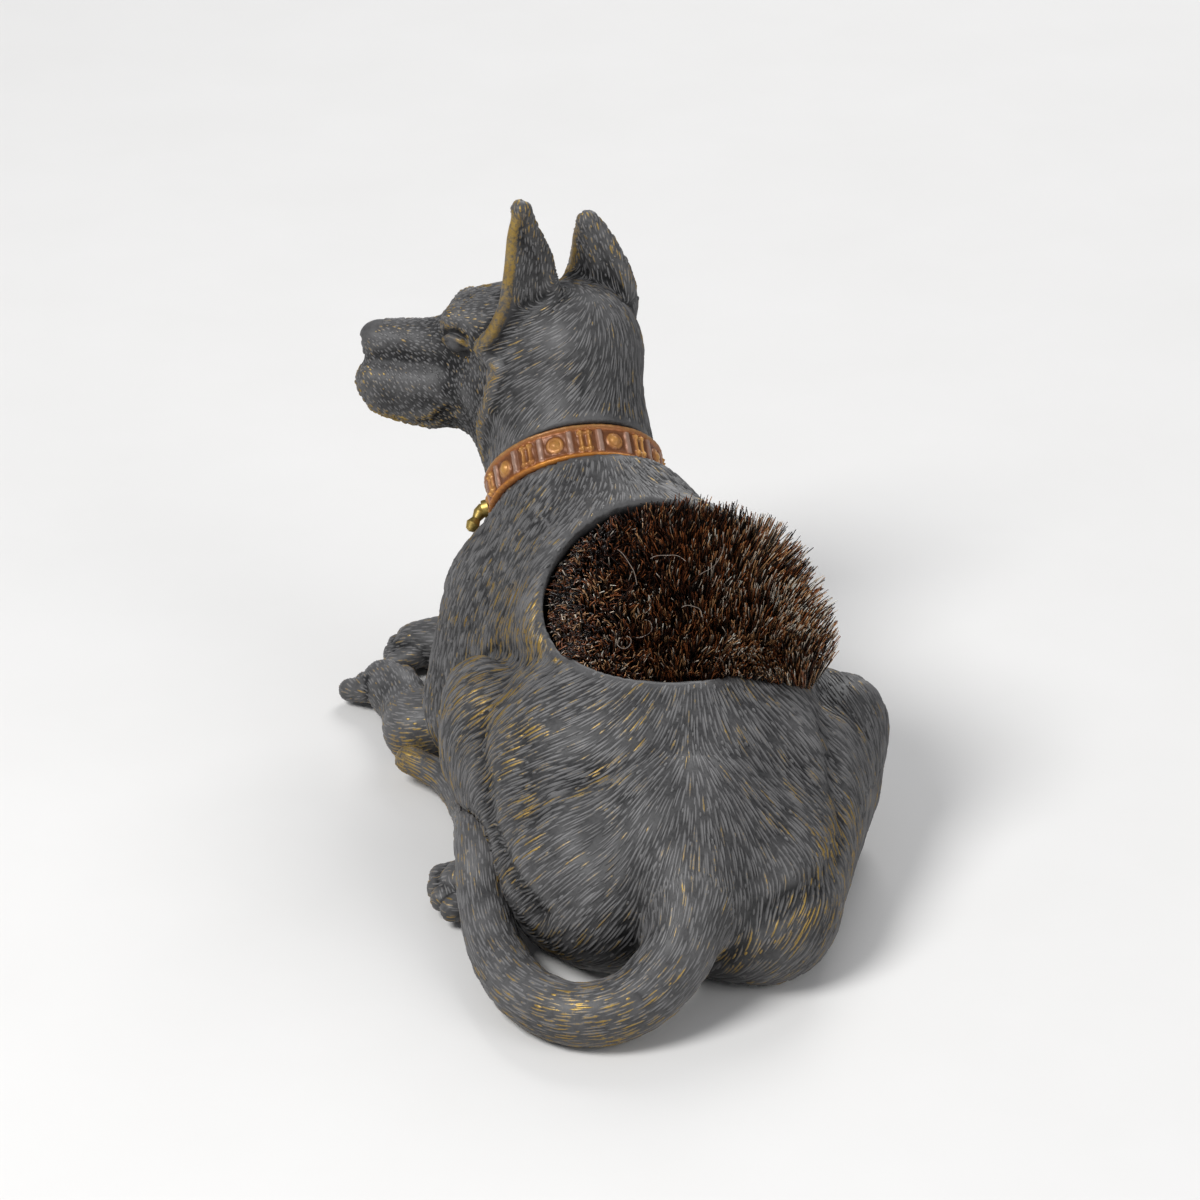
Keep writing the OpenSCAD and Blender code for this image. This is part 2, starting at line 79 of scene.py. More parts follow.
# Armature of the figure, the same values as in the solids
HIP_W, CROUP_R, RIB_R, KNEE_R, WALL = 45.4, 12.3, 15.4, 5.4, 2.4
NECK_R, SKULL_R = 9.2, 6.3
ARM_R, PAW_R, TAIL_R, TAIL_TIP_R = 3.5, 2.6, 3.6, 1.4
WELL_R, WELL_DEPTH, WELL_TILT, ROLL_R = 13.0, 16.5, math.radians(25), 2.6
STOCK_H, COLLAR_W, COLLAR_T, RELIEF_H, PANELS = 6.0, 4.0, 0.7, 0.35, 18
COLLAR_C, COLLAR_N = pt(-3.1, 26.1, 28.2), unit((-0.155, 0.803, 0.576))
SKULL_C = pt(-3.9, 33.3, 41.4)
MUZZLE_A, MUZZLE_N = pt(-13.7, 37, 37.6), unit((-0.955, 0.29, -0.04))
WELL_C, WELL_N = pt(6.6, -0.3, 27.2), pt(0, -math.sin(WELL_TILT), math.cos(WELL_TILT))
HIP_X = 6.7
KNEE_L = pt(HIP_X - HIP_W / 2 + KNEE_R, 0.3, 13.6)
KNEE_X = pt(HIP_X + HIP_W / 2 - KNEE_R, -0.5, 13.4)
SEAT_R = NECK_R - 0.5
# Distance from the collar's axis where the chest rises past the collar, and where its coat starts
CHEST_R, CHEST_COAT_R = 10.4, 10.9
# Clear space under the castings, and between the collar and the coat
FOOT_Z, COLLAR_GAP = 0.02, 0.3
ARM_L_ROOT, ARM_L_N = pt(-15.9, 16.5, 4.6), unit((-0.96, 0.06, -0.2))
ARM_X_ROOT, ARM_X_N = pt(1.7, 29.5, 4.6), unit((-0.86, 0.5, 0))
FOOT_L_ROOT, FOOT_X_ROOT = pt(-7.3, -16.1, 3.6), pt(23.7, 0.7, 3.6)
TAIL_ROOT = pt(8.4, -31.3, 12.6)

# Masses of the figure: start, its radius, end, its radius, softness of the blend
TRUNK = [
    (pt(7.7, -20.9, 9.5), CROUP_R, pt(6.8, -6.9, 11), CROUP_R + 1.7, 5),
    (pt(5.9, -2.9, 12.4), RIB_R, pt(1.5, 15.6, 16.3), RIB_R - 0.7, 6),
    (pt(-0.5, 14.1, 11), 13.4, pt(-4, 23.6, 11.5), 9.5, 6),
    (pt(2, 14.1, 22), 10.4, COLLAR_C, NECK_R, 6),
    (pt(-10, 21.1, 17), 7.2, pt(-13.5, 16.1, 6), 6.3, 5),
    (pt(9.5, 24.1, 17), 7.2, pt(10.5, 22.1, 6), 6.3, 5),
    (pt(8.3, 24.1, 6.5), 5.5, ARM_X_ROOT + (1.5, -1, 0), 5, 4),
    (pt(-3.1, -10.1, 13.2), 9.6, pt(15.9, -10.7, 12.8), 9.6, 5),
    (pt(-1.5, -22.4, 9), 9.2, KNEE_L + (0.9, -4.2, -1.8), 7.3, 2),
    (pt(15, -23.4, 8.3), 9.2, KNEE_X + (-2, -3.4, -1.8), 6.8, 2),
    (KNEE_L + (3, -0.4, 0.4), KNEE_R, KNEE_L, KNEE_R, 2.4),
    (KNEE_X + (-3, -0.4, 0.4), KNEE_R, KNEE_X, KNEE_R, 2.4),
    (KNEE_L + (2.4, -1.2, -7.6), 4, pt(-3.5, -21.9, 3.5), 3.8, 3),
    (KNEE_X + (0, -1.4, -7.4), 4.6, pt(18, -24.9, 3.5), 4, 3),
    (pt(0.5, -27.9, 7.5), 6, pt(0.6, -27.9, 7.5), 6, 4),
    (pt(15, -28.4, 6.5), 6.3, pt(15.1, -28.4, 6.5), 6.3, 4),
    (pt(8.4, -27.9, 13), 4.4, TAIL_ROOT, TAIL_R + 0.2, 5),
    (pt(-12.4, 1.6, 15.3), 4.4, pt(-11.6, -2.2, 14.6), 4.8, 2),
]
SKULL = [
    (COLLAR_C, NECK_R, pt(-3.5, 32.1, 39.5), 6.9, 4),
    (SKULL_C + (0.8, 0, 0.6), SKULL_R, pt(-9.5, 35.3, 41.2), SKULL_R - 0.7, 4),
    (pt(-10.3, 33.9, 43.3), 3.2, pt(-15.6, 34.7, 43.6), 2.1, 2.5),
    (pt(-9.1, 38.1, 43.3), 3.2, pt(-14.4, 38.9, 43.6), 2.1, 2.5),
    (pt(-7.5, 31.9, 38), 4.6, pt(-10, 33.1, 36), 3.6, 3),
    (pt(-6, 37.6, 38), 4.6, pt(-9, 38.1, 36), 3.6, 3),
    (pt(-8.5, 33.6, 30), 5, pt(-6.5, 33.1, 36), 5, 5),
]
MID_N = unit(np.cross(MUZZLE_N, (0, 0, 1)))


def face_at(a, b, c):
    """Place on the face: forward of the stop, to the hound's left, up."""
    return MUZZLE_A + a * MUZZLE_N - b * MID_N + pt(0, 0, c)


MUZZLE = [
    (face_at(-0.4, 0.2, 2.3), 3.1, face_at(11.2, 0, 1.9), 2.3, 2),
    (face_at(-0.2, 2.0, -1.8), 3.1, face_at(11.1, 1.7, -2.2), 2.5, 1.6),
    (face_at(-0.2, -1.9, -1.8), 3.1, face_at(11.1, -1.8, -2.2), 2.5, 1.6),
    (pt(-7.5, 35.1, 34), 4.2, face_at(7.6, 0, -5.4), 1.9, 3),
    (face_at(10.2, 2.0, -4.3), 1.9, face_at(4.6, 2.7, -4.8), 1.9, 1.3),
    (face_at(10.2, -2.1, -4.3), 1.9, face_at(4.6, -2.7, -4.8), 1.9, 1.3),
]
ARM_L_END, ARM_X_END = pt(-24.4, 28.7, 2.6), pt(-21, 37.7, 2.7)
FOOT_L_END, FOOT_X_END = pt(-14.3, -15.8, 3), pt(24.1, 6.5, 2.9)


def toes(p, d, r):
    s = unit(np.cross(d, (0, 0, 1)))
    return [(p + k * 0.62 * r * s - (0, 0, 0.1 * r), 0.56 * r,
             p + k * 0.86 * r * s + (1 - 0.12 * k * k) * r * d - (0, 0, 0.35 * r), 0.5 * r, 0.5)
            for k in (-1.5, -0.5, 0.5, 1.5)]


ARM_L = [
    (ARM_L_ROOT - 3 * ARM_L_N, ARM_R + 1.2, pt(-20.1, 16.9, 3.3), ARM_R, 3),
    (pt(-20.1, 16.9, 3.3), ARM_R, pt(-22.9, 25.5, 2.9), PAW_R - 0.1, 2),
    (pt(-22.9, 25.5, 2.9), PAW_R - 0.1, ARM_L_END, PAW_R, 2),
] + toes(ARM_L_END, unit((-0.5, 0.87, 0)), PAW_R)
ARM_X = [
    (ARM_X_ROOT - 3 * ARM_X_N, ARM_R + 0.9, pt(-3.7, 32.1, 4), ARM_R, 3),
    (pt(-3.7, 32.1, 4), ARM_R, pt(-18, 37, 3.2), PAW_R, 2),
    (pt(-18, 37, 3.2), PAW_R, ARM_X_END, PAW_R, 2),
] + toes(ARM_X_END, unit((-0.98, 0.17, 0)), PAW_R)
FOOT_L = [(FOOT_L_ROOT + (3, -0.15, 0), PAW_R + 0.5, FOOT_L_END, PAW_R, 2)] \
    + toes(FOOT_L_END, unit((-0.98, -0.2, 0)), PAW_R)
FOOT_X = [(FOOT_X_ROOT - (0.2, 3, 0), PAW_R + 0.5, FOOT_X_END, PAW_R - 0.2, 2)] \
    + toes(FOOT_X_END, unit((0.1, 1, 0)), PAW_R - 0.2)
TAIL_PTS = np.array([TAIL_ROOT, (8.4, -34.3, 10.8), (6.9, -37.5, 7.4), (2.9, -40.7, 4.4), (-2.4, -41.3, 3.2),
                     (-7.4, -37.5, 3), (-10.6, -30.3, 3.2), (-12.1, -23.9, 5), (-12.9, -17.5, 8.4),
                     (-13.4, -9.9, 6.6), (-14.1, -1.9, 3.2), (-16.7, 6.3, 2.6), (-21.1, 10.5, 3)])


def through(ps, t):
    """Smooth curve through a list of points, at the positions t."""
    n = len(ps) - 1
    i = np.minimum(n - 1, np.floor(t).astype(int))
    u = (t - i)[:, None]
    a, b, c, d = ps[np.maximum(i - 1, 0)], ps[i], ps[i + 1], ps[np.minimum(i + 2, n)]
    return b + 0.5 * u * (c - a + u * (2 * a - 5 * b + 4 * c - d + u * (3 * (b - c) + d - a)))


TAIL_WAY = unit(TAIL_PTS[1] - TAIL_PTS[0])
TAIL_SPANS, TAIL_LINKS = len(TAIL_PTS) - 1, 72
TAIL_T = np.linspace(0, TAIL_SPANS, TAIL_LINKS + 1)
TAIL_LINE = through(TAIL_PTS, TAIL_T)
TAIL_LINE_R = TAIL_R + (TAIL_TIP_R - TAIL_R) * (0.55 * TAIL_T / TAIL_SPANS + 0.45 * (TAIL_T / TAIL_SPANS) ** 2)
TAIL = [(TAIL_LINE[i], TAIL_LINE_R[i], TAIL_LINE[i + 1], TAIL_LINE_R[i + 1]) for i in range(TAIL_LINKS)]
# Links at the root of the tail, and those that lie in a groove of the haunch
ROOT_LINKS, LAID_LINKS = TAIL[:22], TAIL[24::2]
ROOT_REACH, TAIL_PROUD = 14, 0.05


# Distance fields
def gradient(f, p, e=0.12):
    g = np.stack([f(p + e * k) - f(p - e * k) for k in np.eye(3)], 1)
    return rows_unit(g)


def smin(a, b, k):
    h = np.maximum(k - np.abs(a - b), 0) / k
    return np.minimum(a, b) - h * h * k / 4


def capsule(p, m):
    a, ra, b, rb = m[:4]
    ab = b - a
    q = p - a
    t = np.clip(q @ ab / max(ab @ ab, 1e-9), 0, 1)
    return np.sqrt(((q - t[:, None] * ab) ** 2).sum(1)) - ra - t * (rb - ra)


def group(p, masses):
    d = capsule(p, masses[0])
    for m in masses[1:]:
        d = smin(d, capsule(p, m), m[4])
    return d


def chain(p, masses):
    d = capsule(p, masses[0])
    for m in masses[1:]:
        d = np.minimum(d, capsule(p, m))
    return d


def tub(p):
    """Mass round the brush well, with a rolled rim."""
    h, r = axial(p, WELL_C, WELL_N)
    a = r - WELL_R - 2 + ROLL_R
    b = np.abs(h + WELL_DEPTH / 2) - WELL_DEPTH / 2 + ROLL_R
    return np.hypot(np.maximum(a, 0), np.maximum(b, 0)) + np.minimum(np.maximum(a, b), 0) - ROLL_R


def well(p):
    h, r = axial(p, WELL_C, WELL_N)
    return np.maximum(r - WELL_R, -WELL_DEPTH - h)


def trunk_form(p):
    return smin(group(p, TRUNK), tub(p), 4)


def seen(f, marks):
    """Points of the surface f = 0 that lie under pixels of the photograph."""
    marks = np.array(marks, float)
    mid = IMAGE_PX / 2
    d = -VIEW_BACK + (marks[:, :1] - mid) / FOCAL_PX * VIEW_RIGHT + (mid - marks[:, 1:2]) / FOCAL_PX * VIEW_UP
    d = rows_unit(d)
    p = TARGET + DISTANCE * VIEW_BACK + RAY_START * d
    for _ in range(RAY_STEPS):
        p = p + np.clip(0.8 * f(p), -2, 4)[:, None] * d
    return p


# Folds of the haunches: line, depth, half width
FOLDS = [(seen(trunk_form, [(480, 735), (484, 780), (491, 830), (506, 866), (540, 915)]), 0.7, 1.2),
         (seen(trunk_form, [(824, 718), (835, 770), (843, 830), (832, 872), (800, 897), (764, 915)]), 0.7, 1.3),
         (np.array([(-11.8, 5.5, 18), (-8.8, -2, 22), (-5.6, -8, 24.6)]), 1.0, 1.5),
         (seen(trunk_form, [(520, 735), (526, 790), (545, 850)]), 0.3, 2.0),
         (np.array([(21.8, -7, 19.5), (23.0, 1, 21.5), (21.6, 8, 22)]), 1.2, 2.6)]


def near_line(p, line):
    return np.min(np.stack([capsule(p, (line[i], 0, line[i + 1], 0)) for i in range(len(line) - 1)]), 0)


def trunk(p):
    """Trunk with its folds and the groove for the tail."""
    d = trunk_form(p)
    close = np.abs(d) < 4
    q = p[close]
    for line, depth, wide in FOLDS:
        d[close] += depth * np.exp(-(near_line(q, line) / wide) ** 2)
    near = (p[:, 0] < 1) & (p[:, 2] < 15) & (p[:, 1] < 14)
    d[near] = -smin(-d[near], chain(p[near], LAID_LINKS) - TAIL_PROUD, 1.0)
    return d


def near_root(p):
    return ((p - TAIL_ROOT) ** 2).sum(1) < ROOT_REACH ** 2


def rump(p):
    """Trunk with the tail grown on."""
    d = trunk(p)
    near = near_root(p)
    d[near] = smin(d[near], chain(p[near], ROOT_LINKS), 3)
    return d


def root_cut(p, start=1.5, wide=0.9):
    """Space of the tail casting at its root."""
    return np.maximum(start - (p - TAIL_ROOT) @ TAIL_WAY, chain(p, ROOT_LINKS) - wide)


def cavity(p):
    """Hollow of the body casting, open below."""
    q = p.copy()
    q[:, 2] = np.maximum(q[:, 2], 1.5)
    inner = trunk(q) + WALL
    keep = well(p + WALL * WELL_N) - WALL
    front = (p - COLLAR_C) @ COLLAR_N + 9
    return np.maximum(np.maximum(inner, -keep), front)


def sheet(p, front, back, swell, thick):
    """Curved leaf between two edge lines, with its middle pushed out by swell."""
    d = None
    n = len(front)
    way = unit(np.mean(back - front, 0))
    up = unit(front[-1] - front[0])
    out = unit(np.cross(way, up))
    for i in range(n):
        t = i / (n - 1)
        mid = 0.5 * (front[i] + back[i]) + swell * (1 - 0.6 * t) * out
        r = thick * (1 - 0.35 * t)
        for a, b in ((front[i], mid), (mid, back[i])):
            c = capsule(p, (a, r, b, r))
            d = c if d is None else smin(d, c, 0.9)
    return d


def edge_line(points, n=27):
    points = np.array(points, float)
    return through(points, np.linspace(0, len(points) - 1, n))


# Ears, from the root up: near edge, back line and far edge, then swell and thickness of the leaf
EARS = [(edge_line([(-13.4, 29.9, 42.6), (-12.0, 29.3, 44.8), (-10.7, 29.6, 48), (-10.2, 30.0, 51.5),
                    (-9.8, 30.1, 55.6), (-9.0, 30.1, 58.6)]),
         edge_line([(-7.0, 31.6, 44.4), (-5.8, 31.7, 46.6), (-5.7, 31.9, 49), (-6.3, 31.6, 52.3), (-7.4, 31.0, 55.3),
                    (-8.7, 30.2, 58.7)]),
         edge_line([(-10.4, 35.0, 45.0), (-9.9, 34.6, 47.4), (-9.5, 33.9, 50), (-9.3, 32.9, 53.2), (-9.0, 31.5, 56.4),
                    (-8.8, 30.3, 58.6)]), -0.9, 0.5),
        (edge_line([(-6.4, 38.4, 44.6), (-4.4, 38.6, 46.2), (-3.3, 38.4, 48), (-2.9, 38.1, 50.5), (-2.7, 37.9, 52.6),
                    (-2.1, 37.5, 54.4)]),
         edge_line([(2.5, 36.2, 44.2), (2.6, 36.3, 46.2), (2.0, 36.6, 48.6), (1.0, 36.9, 50.8), (-0.3, 37.2, 53.0),
                    (-1.8, 37.4, 54.5)]),
         edge_line([(-5.4, 42.4, 42.0), (-4.4, 42.2, 44.4), (-3.4, 41.4, 47.2), (-2.9, 40.2, 50), (-2.4, 38.8, 52.6),
                    (-1.9, 37.6, 54.4)]), 0.8, 0.5)]
LIP = np.array([face_at(*q) for q in (
    (12.7, 0.5, -5.3), (11.2, 2.9, -6.0), (7.5, 4.2, -6.3), (4.0, 4.6, -5.4), (1.8, 4.6, -3.6))])
LIP_X = np.array([face_at(*q) for q in (
    (12.7, -0.5, -5.3), (11.2, -3.0, -6.0), (7.5, -4.2, -6.3), (4.0, -4.6, -5.4), (1.8, -4.4, -3.6))])
RUFF = edge_line([(-12.6, 30.4, 42.0), (-11.5, 28.9, 40.6), (-12.3, 28.5, 37.1), (-13.0, 29.3, 33.6),
                  (-12.6, 30.2, 30.8)], 9)
NOSE_TOP = face_at(11.9, 0, 2.4)
CHEEK = edge_line([(-17.6, 33.0, 37.6), (-16.2, 31.9, 34.6), (-14.6, 31.6, 32.4)], 6)


def head_form(p):
    return smin(group(p, SKULL), group(p, MUZZLE), 3)


def eye_frame(p):
    """Centre of an eye under the surface near p, and the directions out, up and forward there."""
    for _ in range(8):
        n = gradient(head_form, p[None])[0]
        p = p - head_form(p[None])[0] * n
    up = unit(pt(0, 0, 1) - n[2] * n)
    fore = np.cross(up, n)
    return p - 0.55 * n, n, up, fore if fore @ MUZZLE_N > 0 else -fore


# Upper and lower lid from the inner corner of the eye: forward, up and out of its centre
LIDS = (((1.7, -0.15, 0.2), (0.5, 1.0, 0.65), (-1.0, 0.85, 0.6), (-1.8, -0.1, 0.1)),
        ((1.7, -0.2, 0.2), (0.4, -0.95, 0.5), (-1.7, -0.2, 0.1)))
LID_R = 0.34
EYES = [eye_frame(face_at(1.2, 4.2, 4.2)), eye_frame(face_at(1.2, -3.2, 4.2))]


def face(p, d):
    """Eyes, lids, nose, lips and cheeks of the head."""
    for line in (LIP, LIP_X):
        d = d + 0.6 * np.exp(-(near_line(p, line) / 0.45) ** 2)
    d = d + 0.5 * np.exp(-(near_line(p, CHEEK) / 1.2) ** 2)
    for c, n, up, fore in EYES:
        d = d + 0.8 * np.exp(-(np.linalg.norm(p - c - 0.5 * n, axis=1) / 1.9) ** 2)
        ball = np.linalg.norm(p - c, axis=1) - 1.15
        lids = [near_line(p, [c + x * fore + y * up + z * n for x, y, z in line]) for line in LIDS]
        d = smin(d, np.minimum(ball, np.min(lids, 0) - LID_R), 0.3)
    d = smin(d, np.linalg.norm((p - NOSE_TOP) / (1, 1, 0.85), axis=1) - 1.75, 0.5)
    for sign in (-1, 1):
        hole = NOSE_TOP + 1.5 * MUZZLE_N + sign * 0.95 * MID_N + (0, 0, -0.15)
        d = np.maximum(d, 0.45 - np.linalg.norm((p - hole) / (1, 1, 0.75), axis=1))
    split = capsule(p, (NOSE_TOP + 1.9 * MUZZLE_N + (0, 0, -0.6), 0, face_at(13.4, 0, -4.6), 0))
    return d + 0.7 * np.exp(-(split / 0.5) ** 2)


def head(p):
    d = face(p, head_form(p))
    d = smin(d, near_line(p, RUFF) - 0.8, 1.0)
    for near_edge, back, far_edge, swell, thick in EARS:
        close = np.linalg.norm(p - back[13], axis=1) < 14
        q = p[close]
        leaf = smin(sheet(q, near_edge, back, swell, thick), sheet(q, far_edge, back, -0.7 * swell, thick), 0.6)
        rim = np.minimum(near_line(q, near_edge[::2]), near_line(q, far_edge[::2]))
        d[close] = smin(smin(d[close], leaf, 1.1), rim - 0.5, 0.25)
    return d


def collar_seat(p):
    """Shallow seat round the neck that takes the collar."""
    h, r = axial(p, COLLAR_C, COLLAR_N)
    return np.minimum(r - SEAT_R, COLLAR_W / 2 + 0.05 - np.abs(h))


def below_head(p):
    """Trunk with the tail root, without the neck above the collar."""
    h, r = axial(p, COLLAR_C, COLLAR_N)
    d = rump(p)
    near = near_root(p)
    d[near] = np.maximum(d[near], 0.03 - root_cut(p[near], 5, 0.2))
    return np.maximum(d, h - 2 * np.maximum(r - CHEST_R, 0))


def collared(p):
    """Outside of the body casting."""
    return np.maximum(below_head(p), collar_seat(p))


def body_solid(p):
    d = np.maximum(collared(p), -well(p))
    d = np.maximum(d, -cavity(p))
    return np.maximum(d, FOOT_Z - p[:, 2])


def head_solid(p):
    return np.maximum(np.maximum(head(p), collar_seat(p)), -((p - COLLAR_C) @ COLLAR_N) + FOOT_Z)


def form(masses):
    return lambda p: group(p, masses)


def grounded(masses):
    return lambda p: np.maximum(group(p, masses), FOOT_Z - p[:, 2])


def tail_field(p):
    d = chain(p, TAIL)
    near = near_root(p)
    d[near] = np.maximum(rump(p[near]) - TAIL_PROUD, root_cut(p[near]))
    return d


def bend(f, p, e=0.9):
    """Mean curvature of a field at its surface: above 0 on ridges, below 0 in hollows."""
    return (sum(f(p + e * k) + f(p - e * k) for k in np.eye(3)) - 6 * f(p)) / (e * e)


def waves(p, scale, seed):
    """Smooth noise between about -1 and 1 from a few crossed waves."""
    r = np.random.default_rng(seed)
    out = np.zeros(len(p))
    for _ in range(7):
        k = r.normal(size=3)
        k = k / np.linalg.norm(k) * r.uniform(0.6, 1.5) / scale * 2 * math.pi
        out += np.sin(p @ k + r.uniform(0, 6.28))
    return out / 3


# Meshes
def place(name, data):
    """A new object in the scene."""
    ob = bpy.data.objects.new(name, data)
    bpy.context.scene.collection.objects.link(ob)
    return ob


def mesh_object(name, verts_mm, faces, body, replaces=()):
    """A smooth piece that rides a body."""
    me = bpy.data.meshes.new(name)
    faces = np.asarray(faces)
    n, k = faces.shape
    me.vertices.add(len(verts_mm))
    me.vertices.foreach_set("co", (np.asarray(verts_mm) * MM).astype(np.float32).ravel())
    me.loops.add(n * k)
    me.loops.foreach_set("vertex_index", faces.astype(np.int32).ravel())
    me.polygons.add(n)
    me.polygons.foreach_set("loop_start", np.arange(0, n * k, k, dtype=np.int32))
    me.polygons.foreach_set("use_smooth", np.ones(n, bool))
    me.update(calc_edges=True)
    me.validate()
    ob = place(name, me)
    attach(ob, body)
    if replaces:
        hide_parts(*replaces)
    return ob


def give(ob, name, values):
    """Values or colours kept on the points of a mesh."""
    values = np.asarray(values, np.float32)
    if values.ndim == 1:
        ob.data.attributes.new(name, "FLOAT", "POINT").data.foreach_set("value", values)
    else:
        rgba = np.concatenate([values, np.ones((len(values), 1), np.float32)], 1)
        ob.data.attributes.new(name, "FLOAT_COLOR", "POINT").data.foreach_set("color", rgba.ravel())


class Sampled:
    """Field kept on a grid, read between its points."""

    def __init__(self, block, lo, step):
        self.block, self.lo, self.step = block, lo, step

    def __call__(self, p):
        q = np.clip((p - self.lo) / self.step, 0, np.array(self.block.shape) - 1.001)
        i = q.astype(int)
        u = q - i
        out = 0
        for dx in (0, 1):
            for dy in (0, 1):
                for dz in (0, 1):
                    w = ((u[:, 0] if dx else 1 - u[:, 0]) * (u[:, 1] if dy else 1 - u[:, 1])
                         * (u[:, 2] if dz else 1 - u[:, 2]))
                    out = out + w * self.block[i[:, 0] + dx, i[:, 1] + dy, i[:, 2] + dz]
        return out


def skin(f, lo, hi, step):
    """Quads of the surface f = 0 inside a box, and the field near it."""
    lo, hi = np.asarray(lo, float), np.asarray(hi, float)
    n = (np.ceil((hi - lo) / step / 4).astype(int) + 1) * 4
    rough = np.stack(np.meshgrid(*[np.arange(k // 4) for k in n], indexing="ij"), -1).reshape(-1, 3)
    d = f((rough * 4 + 1.5) * step + lo)
    block = np.repeat(np.repeat(np.repeat(d.reshape(n // 4), 4, 0), 4, 1), 4, 2).astype(np.float32)
    cell = np.stack(np.meshgrid(*[np.arange(4)] * 3, indexing="ij"), -1).reshape(-1, 3)
    fine = (rough[np.abs(d) < 6.5 * step][:, None] * 4 + cell[None]).reshape(-1, 3)
    for part in np.array_split(fine, max(1, len(fine) // 200000)):
        block[tuple(part.T)] = f(part * step + lo)
    grid = openvdb.FloatGrid(background=5.0)
    grid.copyFromArray(block)
    points, quads = grid.convertToQuads(isovalue=0.0)
    points, quads = points.astype(float) * step + lo, quads.astype(int)
    field = Sampled(block, lo, step)
    g = gradient(field, points, 0.5 * step)
    points -= np.clip(f(points), -step, step)[:, None] * g
    a, b, c = points[quads[:, 0]], points[quads[:, 1]], points[quads[:, 2]]
    if np.median((np.cross(b - a, c - a) * g[quads[:, 0]]).sum(1)) < 0:
        quads = quads[:, ::-1]
    return points, quads, field


def seeds_on(points, quads, cell):
    """Points spread over a quad mesh, about one in each cell."""
    tris = np.concatenate([quads[:, [0, 1, 2]], quads[:, [0, 2, 3]]])
    a, b, c = (points[tris[:, i]] for i in range(3))
    area = 0.5 * np.linalg.norm(np.cross(b - a, c - a), axis=1)
    n = int(area.sum() / cell ** 2 * 6)
    pick = rng.choice(len(tris), n, p=area / area.sum())
    r = np.sqrt(rng.random((n, 1)))
    s = rng.random((n, 1))
    p = (1 - r) * a[pick] + r * (1 - s) * b[pick] + r * s * c[pick]
    key = np.floor(p / cell).astype(np.int64) + 2000
    _, first = np.unique((key[:, 0] * 5000 + key[:, 1]) * 5000 + key[:, 2], return_index=True)
    return p[first]


# Strokes of the coat: stations along each, with their height and width, and how much of a lane may be shared
STATIONS, SHARED = 5, 0.37
RISE = np.array([-0.2, 0.85, 1.0, 0.8, -0.2])
SPREAD = np.array([0.35, 0.95, 1.0, 0.85, 0.15])
# Sink of the stroke edges into the skin, and the painted shade on those edges
EDGE_SINK, EDGE_SHADE = 0.05, -0.4


def trace(f, seeds, flow, length):
    """Lines that follow the flow over the surface f = 0, with the normals along them."""
    p, line, normal = seeds, [], []
    step = (length / (STATIONS - 1))[:, None]
    sway = rng.normal(0, 0.07, (len(seeds), 1))
    for k in range(STATIONS):
        g = gradient(f, p)
        p = p - f(p)[:, None] * g
        t = flow(p)
        t = rows_unit(t - (t * g).sum(1, keepdims=True) * g)
        t = rows_unit(t + sway * (k / 2 - 1) * np.cross(g, t))
        line.append(p)
        normal.append(g)
        p = p + step * t
    return np.stack(line, 1), np.stack(normal, 1)


def free_lanes(line, pitch, taken):
    """Numbers of the lines that keep about one pitch from each other and from the cells taken."""
    t = np.linspace(0, STATIONS - 1, 15)
    i = np.minimum(t.astype(int), STATIONS - 2)
    u = (t - i)[None, :, None]
    dense = line[:, i] * (1 - u) + line[:, i + 1] * u
    key = np.floor(dense / pitch).astype(np.int64) + 500
    code = (key[..., 0] * 2000 + key[..., 1]) * 2000 + key[..., 2]
    out = []
    for n, row in enumerate(code.tolist()):
        row = set(row)
        if len(row & taken) < SHARED * len(row):
            taken |= row
            out.append(n)
    return np.array(out, int)


def coat(name, f, outer, points, quads, keep, flow, pitch, lengths, scale, height):
    """Engraved coat: fine ridges side by side that follow the flow over the surface f = 0."""
    taken, lines, normals = set(), [], []
    for length in lengths:
        seeds = seeds_on(points, quads, max(pitch, 0.12 * length))
        seeds = rng.permutation(seeds[(np.abs(outer(seeds)) < 0.1) & keep(seeds)])
        line, normal = trace(f, seeds, flow, length * scale(seeds) * rng.uniform(0.75, 1.25, len(seeds)))
        ok = keep(line[:, -1]) & keep(line[:, STATIONS // 2])
        line, normal = line[ok], normal[ok]
        pick = free_lanes(line, pitch, taken)
        lines.append(line[pick])
        normals.append(normal[pick])
    line, normal = np.concatenate(lines), np.concatenate(normals)
    n = len(line)
    along = np.gradient(line, axis=1)
    side = rows_unit(np.cross(normal, along).reshape(-1, 3)).reshape(n, STATIONS, 3)
    wide = (0.55 * pitch * rng.uniform(0.8, 1.25, n))[:, None, None] * SPREAD[None, :, None]
    high = (height * rng.uniform(0.6, 1.3, n))[:, None, None] * RISE[None, :, None]
    sunk = EDGE_SINK * normal
    v = np.stack([line - wide * side - sunk, line + high * normal, line + wide * side - sunk], 2)
    a = np.arange(n)[:, None, None] * STATIONS + np.arange(STATIONS - 1)[None, :, None]
    a = a * 3 + np.arange(2)[None, None]
    quads = np.stack([a, a + 1, a + 4, a + 3], -1).reshape(-1, 4)
    ob = mesh_object(name, v.reshape(-1, 3), quads, "figure")
    # Painted highlight on the crests of the strokes and painted shade on their edges; the crests also wear to the
    # metal
    crest_shading_and_wear = np.full((n, STATIONS, 3), EDGE_SHADE)
    crest_shading_and_wear[:, :, 1] = np.maximum(RISE, 0)
    return ob, line.reshape(-1, 3), normal.reshape(-1, 3), crest_shading_and_wear.ravel()


def guided(guides):
    """Direction field blended from guides: place, direction, reach."""
    at = np.array([g[0] for g in guides], float)
    way = np.array([unit(g[1]) for g in guides])
    reach = np.array([g[2] for g in guides], float)

    def flow(p):
        w = np.exp(-((p[:, None, :] - at[None]) ** 2).sum(2) / reach ** 2) + 1e-9
        return w @ way
    return flow


